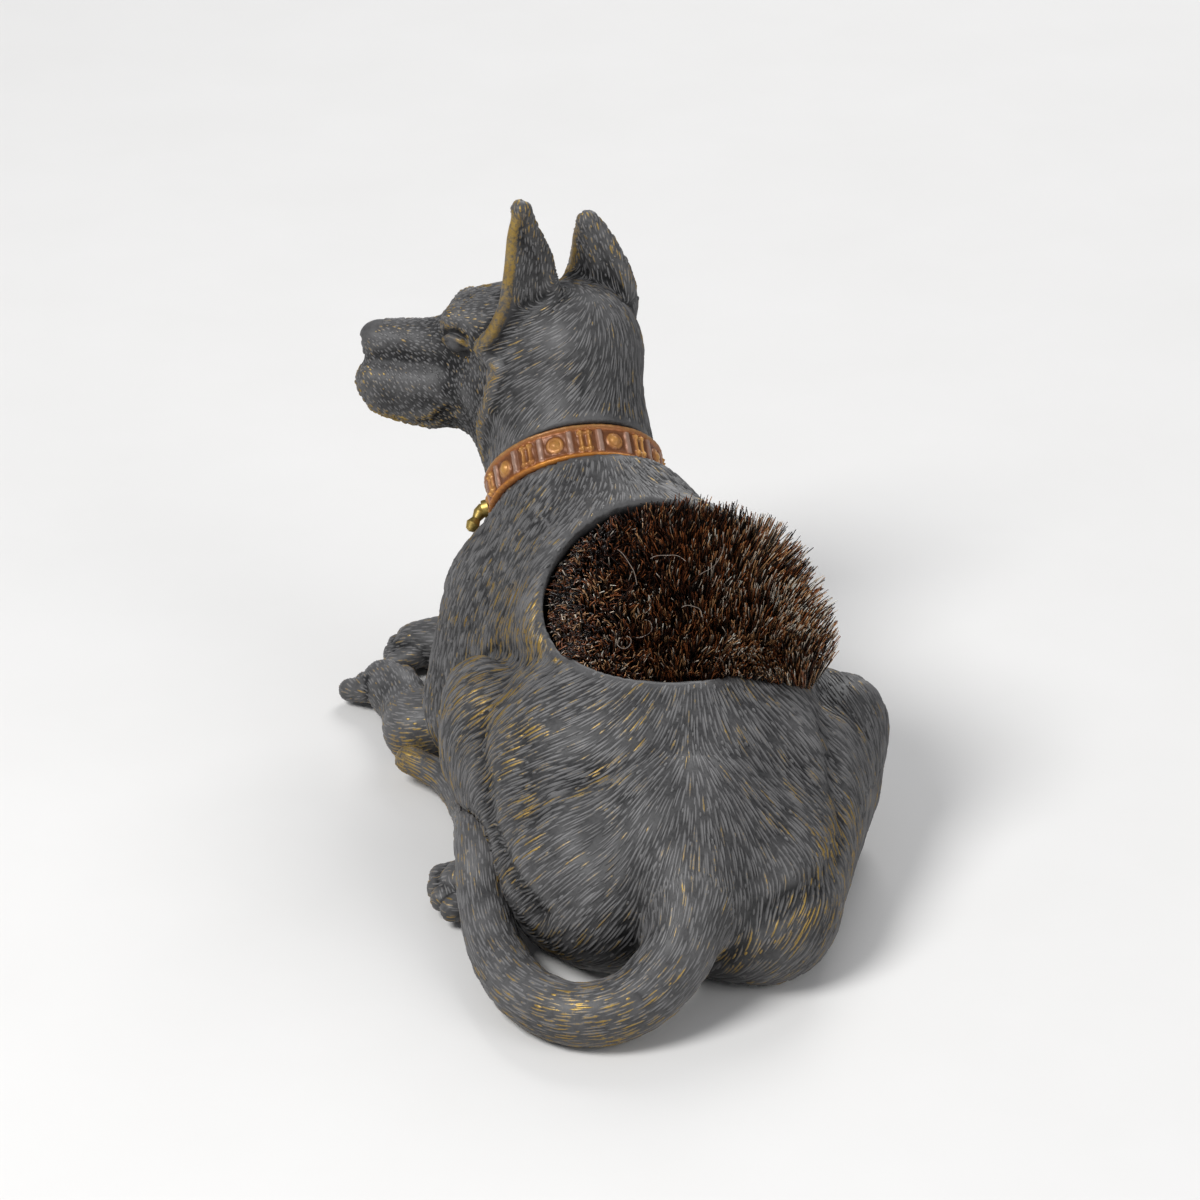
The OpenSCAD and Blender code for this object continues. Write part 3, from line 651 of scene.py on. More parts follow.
def sketch(f, marks):
    """Guides drawn over the photograph: pixel, direction on the image, reach."""
    marks = np.array(marks, float)
    way = marks[:, 2:3] * VIEW_RIGHT - marks[:, 3:4] * VIEW_UP
    return list(zip(seen(f, marks[:, :2]), way, marks[:, 4]))


# Hair of the trunk: it fans out from the croup over both haunches and runs down from the neck
TRUNK_FLOW = guided(sketch(trunk, [
    (700, 702, 0, 1, 5), (650, 704, -0.45, 0.9, 4), (600, 704, -0.85, 0.55, 4), (560, 692, -1, 0.25, 4),
    (755, 708, 0.45, 0.9, 4), (800, 716, 0.7, 0.7, 4), (700, 790, 0, 1, 6), (630, 790, -0.65, 0.75, 5),
    (580, 800, -0.95, 0.35, 5), (530, 800, -1, -0.05, 5), (480, 790, -1, 0.15, 5), (545, 730, -1, 0.25, 4.5),
    (485, 715, -1, 0.2, 4.5), (470, 690, -0.9, 0.4, 3.5), (640, 860, -0.6, 0.8, 4.5), (590, 870, -0.85, 0.5, 4.5),
    (530, 870, -0.9, 0.35, 4.5), (556, 911, -0.75, 0.65, 4), (600, 940, -0.5, 0.85, 4), (691, 860, 0, 1, 3.5),
    (753, 790, 0.45, 0.9, 5), (790, 817, 0.65, 0.75, 5), (838, 828, 0.85, 0.5, 4.5), (845, 750, 0.85, 0.45, 4.5),
    (868, 715, 0.35, 0.95, 3.5), (878, 775, 0.5, 0.85, 4), (845, 875, 0.3, 0.95, 4), (812, 925, -0.6, 0.8, 4.5),
    (760, 955, -0.5, 0.85, 4), (738, 905, 0.3, 0.95, 4), (530, 565, -0.6, 0.8, 5), (475, 600, -0.65, 0.75, 5),
    (505, 535, -0.6, 0.8, 4), (600, 505, -0.1, 1, 4), (635, 495, 0.1, 1, 4), (455, 650, -0.4, 0.9, 5),
    (528, 640, -0.3, 0.95, 4)]) + [
    (TAIL_ROOT + (0, 0.5, 3.7), TAIL_WAY, 3.5), (TAIL_ROOT + (-3.4, 0.5, 1), TAIL_WAY, 2.5),
    (TAIL_ROOT + (3.4, 0.5, 1), TAIL_WAY, 2.5), (pt(-16, -4, 12), (0, -0.5, -0.85), 4.5),
    (pt(-15.5, 2, 9), (0, -0.4, -0.9), 4), (pt(-14, -12, 10), (-0.1, -0.7, -0.7), 4),
    (pt(-14, 10, 12), (-0.1, -0.6, -0.8), 5), (pt(28, -6, 10), (0.1, -0.4, -0.9), 5),
    (pt(26, -18, 8), (0.2, -0.6, -0.75), 5), (pt(-4, 33, 14), (-0.1, -0.2, -1), 9),
    (pt(16, 22, 14), (0.2, -0.4, -0.9), 9), (pt(20, 8, 16), (0.2, -0.8, -0.6), 9),
    (pt(22, 6, 8), (0.1, -0.9, -0.4), 8), (pt(14, 14, 28), (0.5, -0.6, -0.5), 7),
    (pt(5, 30, 20), (0.1, -0.2, -1), 8)])
# Hair of the head: down the neck and away from the brows, up the ears, back along the muzzle
HEAD_FLOW = guided(sketch(head, [
    (600, 292, 0.5, 0.85, 2.5), (625, 330, 0.2, 1, 3), (635, 400, 0.05, 1, 4), (600, 340, -0.1, 1, 3),
    (570, 305, -0.7, 0.7, 2.5), (545, 330, -1, 0.2, 2.5), (520, 335, -1, 0.15, 2), (560, 360, -0.85, 0.5, 3),
    (530, 375, -0.95, 0.3, 2.5), (510, 400, -0.9, 0.35, 2.5), (590, 390, -0.6, 0.8, 3.5), (550, 410, -0.75, 0.65, 3),
    (600, 430, -0.35, 0.95, 3), (520, 440, -0.7, 0.7, 3), (500, 470, -0.5, 0.85, 3), (640, 430, 0.05, 1, 3),
    (470, 400, 0.35, 0.9, 2.5), (450, 380, 0.5, 0.85, 2.5), (470, 360, 0.4, 0.9, 2), (430, 400, 0.8, 0.6, 3),
    (395, 370, 0.6, 0.8, 3), (380, 345, 0.8, 0.6, 2.5), (420, 335, 1, 0.15, 2.5), (480, 430, 0.3, 0.95, 2.5),
    (525, 240, -0.1, -1, 2.5), (530, 285, -0.15, -1, 2), (605, 250, -0.3, -1, 3), (610, 285, -0.2, -1, 2)]) + [
    (pt(-8, 36, 47.5), (0.9, -0.2, 0.2), 4), (pt(-6, 41, 36), (-0.2, 0.4, -0.9), 5),
    (pt(-18, 41, 38), (0.9, 0, -0.4), 5), (pt(5, 36, 38), (0.2, -0.3, -0.9), 5),
    (pt(-8, 36, 28), (0.1, -0.2, -1), 5), (pt(2, 40, 34), (0, 0.1, -1), 5)])


def along_line(line):
    """Flow that runs along a line of points."""
    way = np.gradient(line, axis=0)

    def flow(p):
        i = ((p[:, None, :] - line[None]) ** 2).sum(2).argmin(1)
        return way[i]
    return flow


# Materials
def nodes_of(name):
    """A new material, its node tree and its shader."""
    m = bpy.data.materials.new(name)
    m.use_nodes = True
    return m, m.node_tree, m.node_tree.nodes["Principled BSDF"]


def add(t, kind, **values):
    n = t.nodes.new(kind)
    for k, v in values.items():
        if k in n.inputs:
            n.inputs[k].default_value = v
        else:
            setattr(n, k, v)
    return n


def attr(t, name):
    return add(t, "ShaderNodeAttribute", attribute_name=name)


def rgba_mix(t, fac, a, b, kind="MIX"):
    """Colour mix: each of fac, a and b is a socket or a constant."""
    n = t.nodes.new("ShaderNodeMix")
    n.data_type = "RGBA"
    n.blend_type = kind
    for i, value in ((0, fac), (6, a), (7, b)):
        if isinstance(value, bpy.types.NodeSocket):
            t.links.new(value, n.inputs[i])
        else:
            n.inputs[i].default_value = value if i == 0 else (*value, 1)
    return n.outputs[2]


def math_node(t, op, a, b=0.5, clamp=False):
    n = t.nodes.new("ShaderNodeMath")
    n.operation = op
    n.use_clamp = clamp
    for socket, value in ((n.inputs[0], a), (n.inputs[1], b)):
        if isinstance(value, bpy.types.NodeSocket):
            t.links.new(value, socket)
        else:
            socket.default_value = value
    return n.outputs[0]


def noise(t, scale, detail):
    c = add(t, "ShaderNodeTexCoord")
    n = add(t, "ShaderNodeTexNoise", Scale=scale, Detail=detail, Roughness=0.6)
    t.links.new(c.outputs["Object"], n.inputs["Vector"])
    return n.outputs["Fac"]


def ramp(t, fac, lo, hi):
    n = add(t, "ShaderNodeMapRange", **{"From Min": lo, "From Max": hi})
    t.links.new(fac, n.inputs["Value"])
    return n.outputs["Result"]


def swing(t, value, mask, amount):
    """A value with noise of the given amount added round its middle."""
    return math_node(t, "ADD", value, math_node(t, "MULTIPLY", math_node(t, "SUBTRACT", mask, 0.5), amount), True)


def scaled(t, value, factor, offset):
    return math_node(t, "ADD", math_node(t, "MULTIPLY", value, factor), offset)


def bumped(t, b, height, strength, depth_mm):
    n = add(t, "ShaderNodeBump", Strength=strength, Distance=depth_mm * MM)
    t.links.new(height, n.inputs["Height"])
    t.links.new(n.outputs["Normal"], b.inputs["Normal"])


def bronze():
    """Dark paint, pale on ridges and crests with painted highlight and dark in hollows with painted shade, worn
    through to the metal.
    """
    m, t, b = nodes_of("cold_painted_bronze")
    shade_and_tone, wear = attr(t, "shade_and_tone").outputs["Fac"], attr(t, "wear").outputs["Fac"]
    grime = noise(t, 2600, 6)
    blotch = noise(t, 260, 4)
    shade_and_tone = swing(t, swing(t, shade_and_tone, grime, 0.4), blotch, 0.3)
    # The paint runs from near black to pale grey by its tone attribute, which carries painted highlight and painted
    # shade as well as the paint's own uneven tone
    paint = rgba_mix(t, shade_and_tone, (0.006, 0.006, 0.0065), (0.19, 0.186, 0.186))
    worn = ramp(t, swing(t, wear, grime, 0.9), 0.42, 0.72)
    metal = rgba_mix(t, blotch, (0.22, 0.125, 0.035), (0.50, 0.35, 0.095))
    t.links.new(rgba_mix(t, worn, paint, metal), b.inputs["Base Color"])
    t.links.new(math_node(t, "MULTIPLY", worn, 0.8), b.inputs["Metallic"])
    t.links.new(scaled(t, grime, 0.3, 0.30), b.inputs["Roughness"])
    b.inputs["Specular IOR Level"].default_value = 0.3
    bumped(t, b, grime, 0.35, 0.06)
    return m


def coloured(name, rough, metallic, grain, bump_mm, spread):
    """Material whose colour is painted on the points as the attribute col."""
    m, t, b = nodes_of(name)
    g = noise(t, grain, 5)
    shade = ramp(t, g, 0.25, 0.75)
    col = attr(t, "col").outputs["Color"]
    dark = rgba_mix(t, 1.0, col, (0.35, 0.33, 0.3), "MULTIPLY")
    t.links.new(rgba_mix(t, math_node(t, "MULTIPLY", shade, spread), col, dark), b.inputs["Base Color"])
    t.links.new(scaled(t, g, 0.3, rough - 0.15), b.inputs["Roughness"])
    b.inputs["Metallic"].default_value = metallic
    if bump_mm:
        bumped(t, b, g, 0.5, bump_mm)
    return m


def brass():
    m, t, b = nodes_of("dull_brass")
    g = noise(t, 1800, 5)
    t.links.new(rgba_mix(t, g, (0.20, 0.13, 0.035), (0.62, 0.46, 0.14)), b.inputs["Base Color"])
    b.inputs["Metallic"].default_value = 0.85
    t.links.new(scaled(t, g, 0.35, 0.25), b.inputs["Roughness"])
    return m


def wood():
    m, t, b = nodes_of("turned_wood")
    c = add(t, "ShaderNodeTexCoord")
    s = add(t, "ShaderNodeMapping")
    s.inputs["Scale"].default_value = (1, 0.12, 1)
    t.links.new(c.outputs["Object"], s.inputs["Vector"])
    n = add(t, "ShaderNodeTexNoise", Scale=1500.0, Detail=6.0, Roughness=0.65)
    t.links.new(s.outputs["Vector"], n.inputs["Vector"])
    grain = n.outputs["Fac"]
    colour = rgba_mix(t, ramp(t, grain, 0.3, 0.7), (0.085, 0.04, 0.016), (0.26, 0.14, 0.06))
    t.links.new(colour, b.inputs["Base Color"])
    b.inputs["Roughness"].default_value = 0.55
    bumped(t, b, grain, 0.4, 0.05)
    return m


BRONZE, BRASS, WOOD = bronze(), brass(), wood()


def paint_bronze(ob, f, at, normal, crest_shading_and_wear, extra, times=1):
    """Tone and wear of a casting: pale on ridges with painted highlight, dark in hollows with painted shade and
    gathered paint, lighter where it faces up with painted light, bare metal where hands rub.
    """
    ridge = bend(f, at)
    near = ((at - TAIL_ROOT) ** 2).sum(1) < (ROOT_REACH / 2) ** 2
    if near.any():
        ridge[near] = bend(rump, at[near])
    # Pale on ridges and dark in hollows: painted highlight and painted shade, along with the dark paint that gathers
    # in the hollows
    shade_and_tone = 0.20 + 0.5 * np.clip(ridge - 0.14, -0.3, 0.3) + 0.06 * waves(at, 8, 11) + 0.04 * waves(at, 2.2, 12)
    # Painted light: faces turned up are lighter
    shade_and_tone += 0.06 * np.clip(normal[:, 2], -1, 1)
    wear = 0.30 * np.clip(ridge - 0.15, 0, 0.6) + 0.08 * waves(at, 7, 21) + 0.06 * waves(at, 1.6, 22) + extra
    if times > 1:
        shade_and_tone = shade_and_tone + np.repeat(rng.normal(0, 0.09, len(at) // STATIONS), STATIONS)
    # Stroke crests lighter with painted highlight, stroke edges darker with painted shade
    give(ob, "shade_and_tone", np.clip(np.repeat(shade_and_tone, times) + 0.64 * crest_shading_and_wear, 0, 1))
    crest = crest_shading_and_wear if times > 1 else 1
    wear = np.repeat(wear, times) * (0.5 + 0.5 * crest) + 0.2 * np.maximum(crest_shading_and_wear, 0)
    give(ob, "wear", np.clip(wear, 0, 1))
    ob.data.materials.append(BRONZE)


# Places rubbed down to the metal: centre, reach, strength
RUBBED = [(p, r, s) for p, (r, s) in zip(
    seen(trunk, [(480, 760), (616, 766), (838, 860), (800, 930), (500, 620), (533, 640), (470, 690), (752, 955),
                 (544, 925), (530, 802), (532, 838), (490, 715), (526, 724), (634, 721), (598, 805), (514, 877),
                 (850, 805), (790, 940)]),
    [(7, 0.22), (4, 0.20), (7, 0.26), (5, 0.2), (8, 0.28), (4, 0.34), (4, 0.2), (2, 0.3), (4, 0.16),
     (2.5, 0.28), (2.5, 0.24), (3, 0.24), (3, 0.26), (3, 0.22), (3, 0.2), (2.5, 0.24), (3, 0.2), (3, 0.1)])]
RUBBED += [(pt(-3, -43, 2.5), 9, 0.36), (pt(-21, 10.5, 3), 4, 0.45), (NOSE_TOP, 1.6, 0.4),
           (pt(-23.6, 37, 31.2), 2.2, 0.4), (pt(-25.6, 38.6, 36), 3, 0.18), (pt(-15.6, 34, 44.6), 2, 0.2),
           (pt(-25, 30, 2), 4, 0.15), (pt(-17, -16, 2), 3, 0.2), (pt(-20, 16, 3), 4, 0.25)]
# Share of the rubbing on the ground between the strokes, and stray wear of single strokes
GROUND_WEAR, STRAY_WEAR = 0.7, 0.46


def rubbed(p):
    out = np.zeros(len(p))
    for c, r, s in RUBBED:
        out += s * np.exp(-((p - c) ** 2).sum(1) / r ** 2)
    return out


def casting(node, solid, outer, lo, hi, step, flow, pitch, lengths, scale, height, keep, extra=None):
    """A casting with its engraved coat, in place of a CAD node."""
    points, quads, field = skin(solid, lo, hi, step)
    base = mesh_object(node + "_casting", points, quads, "figure", (node,))
    normal = gradient(field, points, 0.2)
    more = GROUND_WEAR * rubbed(points) + (extra(points) if extra else 0)
    paint_bronze(base, field, points, normal, 0, more)
    hair, at, normal, crest_shading_and_wear = coat(node + "_coat", field, outer, points, quads, keep, flow, pitch, lengths, scale,
                                 height)
    luck = np.repeat(STRAY_WEAR * rng.random(len(at) // STATIONS) ** 3, STATIONS)
    more = rubbed(at) + (extra(at) if extra else 0) + luck
    paint_bronze(hair, field, at, normal, crest_shading_and_wear, more, 3)


def above_floor(p):
    return p[:, 2] > 0.6


# Where the coats grow
def trunk_keep(p):
    h, r = axial(p, WELL_C, WELL_N)
    clear = (r > WELL_R + 0.25) | (h < -WELL_DEPTH - 1)
    h, r = axial(p, COLLAR_C, COLLAR_N)
    under = (h < -COLLAR_W / 2 - COLLAR_GAP) | (r > CHEST_COAT_R)
    return clear & under & above_floor(p) & (~near_root(p) | (root_cut(p) > -0.3))


def tail_keep(p):
    q = p - TAIL_ROOT
    return above_floor(p) & ((q @ TAIL_WAY > 1.4) | (np.linalg.norm(q, axis=1) > ROOT_REACH / 2))


def head_keep(p):
    rim = np.min([near_line(p, e[0][::2]) for e in EARS], 0)
    eye = np.min([np.linalg.norm(p - e[0], axis=1) for e in EYES], 0)
    nose = np.linalg.norm(p - NOSE_TOP, axis=1)
    above = (p - COLLAR_C) @ COLLAR_N > COLLAR_W / 2 + COLLAR_GAP
    return above & (rim > 0.75) & (eye > 1.9) & (nose > 2.0)


def ear_edges(p):
    """Bare metal along the edges of the ears, on the ruff, round the eyes and along the lips."""
    out = 0.55 * np.exp(-((near_line(p, RUFF) - 0.4) / 0.5) ** 2)
    for front, back, far, *_ in EARS:
        out = np.maximum(out, 0.8 * np.exp(-(near_line(p, front[::2]) / 0.75) ** 2))
        out = np.maximum(out, 0.6 * np.exp(-(near_line(p, far[::2]) / 0.65) ** 2))
        out = np.maximum(out, 0.3 * np.exp(-(near_line(p, back[::2]) / 0.6) ** 2))
    for c, *_ in EYES:
        r = np.linalg.norm(p - c, axis=1)
        out = out + 0.35 * np.exp(-((r - 1.9) / 0.5) ** 2) - 0.5 * (r < 1.25)
    for line in (LIP, LIP_X):
        out = out + 0.3 * np.exp(-((near_line(p, line) - 0.7) / 0.5) ** 2)
    return out


def whole(p):
    return np.ones(len(p))


def head_scale(p):
    """Length of the strokes on the head: long on the neck, short on the ears and the face."""
    face_part = smoothstep(-10.5, -14.5, p[:, 0])
    ear_part = smoothstep(46.5, 49, p[:, 2])
    return 1 - 0.72 * face_part - 0.55 * ear_part * (1 - face_part)


def trunk_scale(p):
    return 1 - 0.3 * smoothstep(4, 12, p[:, 1])


# Castings: corners of the grid and its step, then flow, pitch, lengths, scale and height of the strokes
casting("body", body_solid, collared, (-21, -37, -0.8), (31, 36, 37), 0.54,
        TRUNK_FLOW, 0.34, (3.4, 2.6, 2.0, 1.5, 1.1, 0.8), trunk_scale, 0.19, trunk_keep)
casting("head", head_solid, head, (-28.5, 21, 20), (9, 46, 61), 0.28,
        HEAD_FLOW, 0.30, (2.8, 2.1, 1.6, 1.1, 0.8), head_scale, 0.14, head_keep, ear_edges)
casting("tail", tail_field, tail_field, (-25, -46, -0.5), (14, 15, 18), 0.36,
        along_line(TAIL_LINE), 0.32, (2.8, 2.1, 1.5, 1.0, 0.7), whole, 0.12, tail_keep)
for node, masses, lo, hi in (
        ("left_foreleg", ARM_L, (-31, 9, -0.5), (-8, 35, 10)),
        ("right_foreleg", ARM_X, (-28, 22, -0.5), (10, 43, 10)),
        ("left_hind_foot", FOOT_L, (-21, -22, -0.5), (-1, -10, 8)),
        ("right_hind_foot", FOOT_X, (18, -6, -0.5), (30, 12, 8))):
    line = np.array([m[0] for m in masses[:3]] + [masses[-2][2]])
    line = through(line, np.linspace(0, len(line) - 1, 40))
    casting(node, grounded(masses), form(masses), lo, hi, 0.36,
            along_line(line), 0.34, (1.8, 1.1, 0.7), whole, 0.08, above_floor)


# Brush
REAR = unit(pt(0, -math.cos(WELL_TILT), -math.sin(WELL_TILT)))
RIGHT = pt(1, 0, 0)


def tube(lines, radii, sides=3):
    """Thin tubes along lines of shape (n, k, 3) with radii (n, k)."""
    n, k, _ = lines.shape
    way = rows_unit(np.gradient(lines, axis=1).reshape(-1, 3))
    ref = np.tile(pt(0.31, 0.22, 0.1), (len(way), 1))
    u = rows_unit(np.cross(way, ref))
    w = np.cross(way, u)
    a = np.arange(sides) * 2 * math.pi / sides
    ring = np.cos(a)[None, :, None] * u[:, None] + np.sin(a)[None, :, None] * w[:, None]
    v = lines.reshape(-1, 1, 3) + radii.reshape(-1, 1, 1) * ring
    i = np.arange(n)[:, None, None] * k * sides
    j = np.arange(k - 1)[None, :, None] * sides
    s = np.arange(sides)[None, None, :]
    s2 = (s + 1) % sides
    quads = np.stack([i + j + s, i + j + s2, i + j + sides + s2, i + j + sides + s], -1).reshape(-1, 4)
    return v.reshape(-1, 3), quads


# Bristles in all, those of them crowded into the right rear corner, and the share of the radius they fill
BRISTLES, CROWDED, FILLED = 9600, 1500, 0.985
CORNER_DEG, ROOT_IN = 60, 0.4
TUFT_R = WELL_R - 1.1
MOUTH_R = WELL_R - 0.45
TIP_H, TIP_SLOPE, TIP_CROWN = 1.2, 2.4, 0.8


def on_well(x, y):
    """Offset from the axis of the well, to the right and to the rear."""
    return x[:, None] * RIGHT + y[:, None] * REAR


def bristle_lines(a, q):
    """Lines of the bristles from root to tip, for their angles and shares of the radius."""
    x, y = q * np.sin(a), q * np.cos(a)
    n = len(x)
    tuft = np.stack([x, y, 0 * x], 1) * 12
    deg = np.degrees(a)
    corner = np.exp(-((deg - CORNER_DEG) / 24) ** 2)
    edge = np.exp(-((deg - 95) / 50) ** 2)
    rise = TIP_H + TIP_SLOPE * x + TIP_CROWN * (1 - q * q) - 0.8 * corner * q ** 4 + 0.3 * waves(tuft, 5, 31)
    rise += rng.normal(0, 0.22, n)
    rise += 0.5 * edge * rng.random(n) ** 3 * q
    flare = q ** 3 * (0.4 + 2.4 * edge * (1 - 0.6 * corner)) + rng.normal(0, 0.15, n)
    lean = q ** 3 * 5.2 * corner
    rim = WELL_C + MOUTH_R * on_well(x, y)
    out = on_well(*(np.stack([x, y]) / np.maximum(q, 1e-3)))
    tip = rim + rise[:, None] * WELL_N + (flare + 1.1 * lean)[:, None] * out + rng.normal(0, 0.2, (n, 3))
    tip += on_well(0.25 * waves(tuft, 3.5, 35), 0.2 * waves(tuft, 3.5, 36))
    lines = np.empty((n, 4, 3))
    lines[:, 0] = WELL_C + (STOCK_H - WELL_DEPTH - ROOT_IN) * WELL_N + TUFT_R * on_well(x, y)
    lines[:, 1] = rim - 0.3 * WELL_N
    lines[:, 2] = rim + (0.5 * rise - 0.5 * lean)[:, None] * WELL_N + (0.4 * flare + lean)[:, None] * out
    lines[:, 3] = tip
    over = flare + lean > 0.8
    for k in (2, 3):
        p = lines[over, k]
        lines[over, k] = p + np.maximum(1.2 * k - 2.1 - trunk(p), 0)[:, None] * gradient(trunk, p)
    return lines, x, y, tuft


def bristle_colours(x, y, tuft):
    """Colour of each point: dark, red and fair hairs, lighter at the right with painted light and darker towards the
    front with painted shade, pale tips as painted glints most of all at the right edge, each hair darker at the root
    with painted shade and lighter to the tip with painted light.
    """
    n = len(x)
    # Light hairs more common to the right, painted light, and fewer towards the front, painted shade; the wave term
    # gives real clumps
    kind = rng.random(n) + 0.10 * waves(tuft, 4, 33) + 0.10 * np.maximum(x, 0) - 0.08 * smoothstep(0.1, -0.7, y)
    col = np.tile((0.008, 0.005, 0.004), (n, 1))
    for start, shade in ((0.52, (0.05, 0.016, 0.007)), (0.76, (0.17, 0.055, 0.018)), (0.93, (0.34, 0.19, 0.09)),
                         (1.02, (0.62, 0.52, 0.40))):
        col[kind > start] = shade
    # Along each hair: darker low in the tuft with painted shade, lighter to the tip with painted light
    root_shade_tip_light = np.array([0.5, 0.7, 1.2, 1.9])
    col = np.clip(col[:, None] * root_shade_tip_light[None, :, None], 0, 0.85)
    # Pale and orange tips are painted glints, most of them at the right, at the far left and to the rear
    glint_chance = 0.07 + 0.2 * smoothstep(0.1, 0.8, x) + 0.14 * smoothstep(-0.6, -0.95, x) + 0.08 * np.maximum(y, 0)
    pale = rng.random(n) < glint_chance
    glint_col = np.where(rng.random((pale.sum(), 1)) < 0.5, (0.72, 0.62, 0.5), (0.5, 0.27, 0.12))
    col[pale, 3] = glint_col
    col[pale, 2] = col[pale, 2] * 0.6 + 0.3 * glint_col
    return np.repeat(col.reshape(-1, 3), 3, 0)


def bristles():
    a = rng.random(BRISTLES) * 2 * math.pi
    q = np.sqrt(rng.random(BRISTLES)) * FILLED
    a[:CROWDED] = np.radians(rng.normal(CORNER_DEG, 20, CROWDED))
    q[:CROWDED] = rng.uniform(0.75, FILLED, CROWDED)
    lines, x, y, tuft = bristle_lines(a, q)
    r = rng.uniform(0.06, 0.1, BRISTLES)
    v, quads = tube(lines, r[:, None] * np.array([1, 1, 0.95, 0.6]))
    ob = mesh_object("bristle_tufts", v, quads, "brush", ("bristles",))
    give(ob, "col", bristle_colours(x, y, tuft))
    material = coloured("hog_bristle", 0.33, 0.0, 4000, 0, 0.3)
    ob.data.materials.append(material)
    loose_hairs(material)


def loose_hairs(material):
    """A few shed hairs that lie on the tips of the brush: place, heading, curl, length."""
    lines, links = [], 11
    for x, y, turn, curl, length in ((-0.42, -0.5, 0.9, 0.05, 5.5), (-0.15, -0.35, -0.5, 0.12, 4),
                                     (0.25, -0.12, -0.35, -0.1, 4.5), (-0.2, 0.28, 0.2, 0.3, 3.6),
                                     (0.1, 0.2, -0.6, 0.2, 3), (-0.35, 0.42, 0.1, 0.5, 4)):
        p = WELL_C + MOUTH_R * (x * RIGHT + y * REAR)
        line = []
        for k in range(links + 1):
            u, v = (p - WELL_C) @ RIGHT / WELL_R, (p - WELL_C) @ REAR / WELL_R
            tips = TIP_H + TIP_SLOPE * u + TIP_CROWN * (1 - u * u - v * v)
            line.append(p + (tips + 0.45 + 0.1 * math.sin(k)) * WELL_N)
            turn += curl
            p = p + length / links * (math.cos(turn) * RIGHT + math.sin(turn) * REAR)
        lines.append(line)
    v, quads = tube(np.array(lines), np.full((len(lines), links + 1), 0.045), 4)
    ob = mesh_object("loose_hairs", v, quads, "brush")
    give(ob, "col", np.tile((0.2, 0.16, 0.13), (len(v), 1)))
    ob.data.materials.append(material)


bristles()


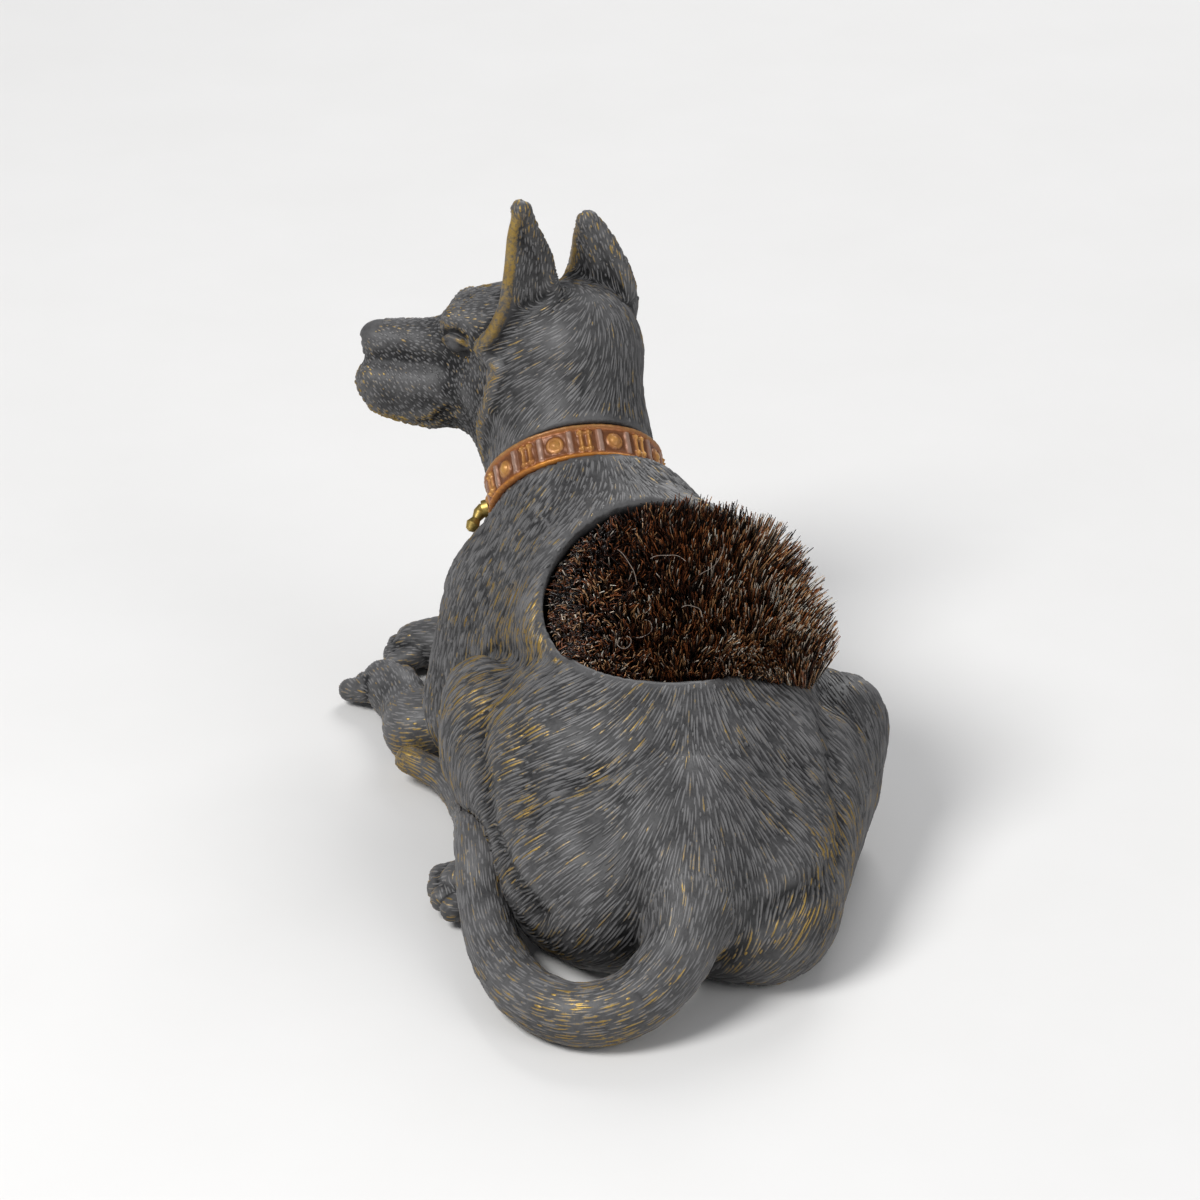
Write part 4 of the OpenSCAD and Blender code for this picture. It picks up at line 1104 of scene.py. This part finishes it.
# Collar: a band with rails, bars, bosses and pillars in relief
def collar():
    na, nw = 900, 28
    ri = SEAT_R + 0.06
    ro = ri + COLLAR_T
    turn, tilt = math.atan2(COLLAR_N[1], COLLAR_N[0]), math.acos(COLLAR_N[2])
    rot = np.array(Matrix.Rotation(turn, 3, "Z") @ Matrix.Rotation(tilt, 3, "Y"))
    a = np.arange(na) * 2 * math.pi / na
    w = np.linspace(-COLLAR_W / 2, COLLAR_W / 2, nw)
    A, W = np.meshgrid(a, w, indexing="ij")
    x = np.abs(W) / (COLLAR_W / 2)
    rail = np.exp(-((x - 0.86) / 0.11) ** 4)
    bead = 0.1 * np.exp(-((x - 0.62) / 0.07) ** 2)
    cell = A * PANELS / (2 * math.pi)
    panel = 2 * math.pi * ro / PANELS
    u = (cell + 0.5) % 1 - 0.5
    kind = np.floor(cell + 0.5).astype(int) % 2
    arc = u * panel
    inside = x < 0.66
    edge = np.abs(np.abs(u) - 0.5) * panel
    bar = np.exp(-(edge / 0.34) ** 4) * inside
    r = np.hypot(arc, W)
    boss = np.clip(1 - (r / 0.98) ** 2, 0, 1) ** 0.5 + 0.35 * np.clip(1 - (r / 0.42) ** 2, 0, 1) ** 0.5
    boss -= 0.25 * np.exp(-((r - 0.62) / 0.10) ** 2)
    pillar = np.exp(-((np.abs(arc) - 0.42) / 0.2) ** 2)
    pillar += 0.8 * np.exp(-((np.abs(W) - 0.95) / 0.18) ** 2) * (np.abs(arc) < 0.85)
    figure = np.where(kind == 0, boss, 0.85 * pillar) * inside * (np.abs(u) < 0.42)
    h = RELIEF_H * np.maximum.reduce([rail, bead / RELIEF_H * 0.6, 0.8 * bar, figure]) - 0.02
    rad = ro + h - 0.3 * smoothstep(0.93, 1.0, x)
    rad += 0.03 * np.sin(A * 37 + W * 5) * np.sin(A * 23)
    local = np.stack([rad * np.cos(A), rad * np.sin(A), W], -1).reshape(-1, 3)
    inner = np.stack([ri * np.cos(a), ri * np.sin(a), np.full(na, -COLLAR_W / 2)], -1)
    inner2 = inner + (0, 0, COLLAR_W)
    v = np.concatenate([local, inner, inner2]) @ rot.T + COLLAR_C
    i = np.arange(na)[:, None]
    j = np.arange(nw - 1)[None, :]
    i2 = (i + 1) % na
    quads = np.stack([i * nw + j, i2 * nw + j, i2 * nw + j + 1, i * nw + j + 1], -1).reshape(-1, 4)
    b = na * nw
    k = np.arange(na)
    k2 = (k + 1) % na
    sides = np.concatenate([np.stack([b + k, b + k2, k2 * nw, k * nw], -1),
                            np.stack([k * nw + nw - 1, k2 * nw + nw - 1, b + na + k2, b + na + k], -1),
                            np.stack([b + na + k, b + na + k2, b + k2, b + k], -1)])
    ob = mesh_object("collar_band", v, np.concatenate([quads, sides]), "figure", ("collar",))
    ground, gilt, grey, dark, orange = (np.array(c) for c in (
        (0.30, 0.10, 0.03), (0.72, 0.38, 0.09), (0.36, 0.25, 0.20), (0.07, 0.026, 0.008), (0.42, 0.13, 0.02)))
    worn = 0.5 + 0.5 * waves(v, 2.2, 41)[:b].reshape(na, nw)
    c = ground + (np.clip(figure, 0, 1) * (0.35 + 0.5 * worn))[..., None] * (gilt - ground)
    band = np.where((W < 0)[..., None], (0.66, 0.26, 0.025), (0.42, 0.22, 0.07))
    c = c + (rail * (0.45 + 0.5 * worn) * (np.sin(A * 60) * 0.1 + 0.9))[..., None] * (band - c)
    c = c + (np.clip(bar, 0, 1) * 0.75)[..., None] * (grey - c)
    # Painted shade in the recesses between the raised figures
    recess_shade = np.clip(1 - h / 0.12, 0, 1) * (x < 0.8)
    c = c + (0.55 * recess_shade)[..., None] * (dark - c)
    c = c + (np.exp(-((x - 0.72) / 0.06) ** 2) * 0.6)[..., None] * (orange - c)
    col = np.concatenate([c.reshape(-1, 3), np.tile(dark, (2 * na, 1))])
    give(ob, "col", np.clip(col, 0, 1))
    ob.data.materials.append(coloured("collar_paint", 0.42, 0.25, 2200, 0.02, 0.45))


collar()


def dress(node, material):
    """Material on a CAD node that is shown as it is."""
    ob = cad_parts[node]
    ob.data.materials.clear()
    ob.data.materials.append(material)


for node in ("collar_drop", "joint_pins", "draw_wire", "board_brads"):
    dress(node, BRASS)
for node in ("stock", "back_board"):
    dress(node, WOOD)


# Floor, light and camera
def floor():
    me = bpy.data.meshes.new("floor")
    half = 3.0
    me.from_pydata([(-half, -half, 0), (half, -half, 0), (half, half, 0), (-half, half, 0)], [], [(0, 1, 2, 3)])
    ob = place("floor", me)
    m, t, b = nodes_of("pale_floor")
    n = noise(t, 40, 3)
    t.links.new(rgba_mix(t, n, (0.74, 0.73, 0.71), (0.78, 0.77, 0.755)), b.inputs["Base Color"])
    b.inputs["Roughness"].default_value = 0.75
    me.materials.append(m)


floor()


def aim(ob, at, way):
    ob.location = at
    ob.rotation_mode = "QUATERNION"
    ob.rotation_quaternion = way.to_track_quat("-Z", "Y")


def lamp(name, at, size, power):
    """Round lamp that shines on the middle of the figure."""
    light = bpy.data.lights.new(name, "AREA")
    light.shape = "DISK"
    light.size = size
    light.energy = power
    aim(place(name, light), at, Vector((0, 0, 0.025)) - Vector(at))


lamp("key", (-0.35, -0.3, 0.55), 0.3, 4.2)
lamp("fill", (0.55, -0.4, 0.35), 0.5, 1.6)
lamp("back", (0.15, 0.6, 0.5), 0.4, 2.4)
world = bpy.data.worlds.new("studio")
world.use_nodes = True
sky = world.node_tree.nodes["Background"].inputs
sky["Color"].default_value = (0.9, 0.93, 1.0, 1)
sky["Strength"].default_value = 0.3
bpy.context.scene.world = world

cam = bpy.data.cameras.new("camera")
cam.sensor_width = SENSOR_MM
cam.lens = SENSOR_MM * FOCAL_PX / IMAGE_PX
cam.clip_start, cam.clip_end = 0.01, 20
camera = place("camera", cam)
aim(camera, Vector((TARGET + DISTANCE * VIEW_BACK) * MM), Vector(-VIEW_BACK))
bpy.context.scene.camera = camera
bpy.context.scene.view_settings.view_transform = "Standard"
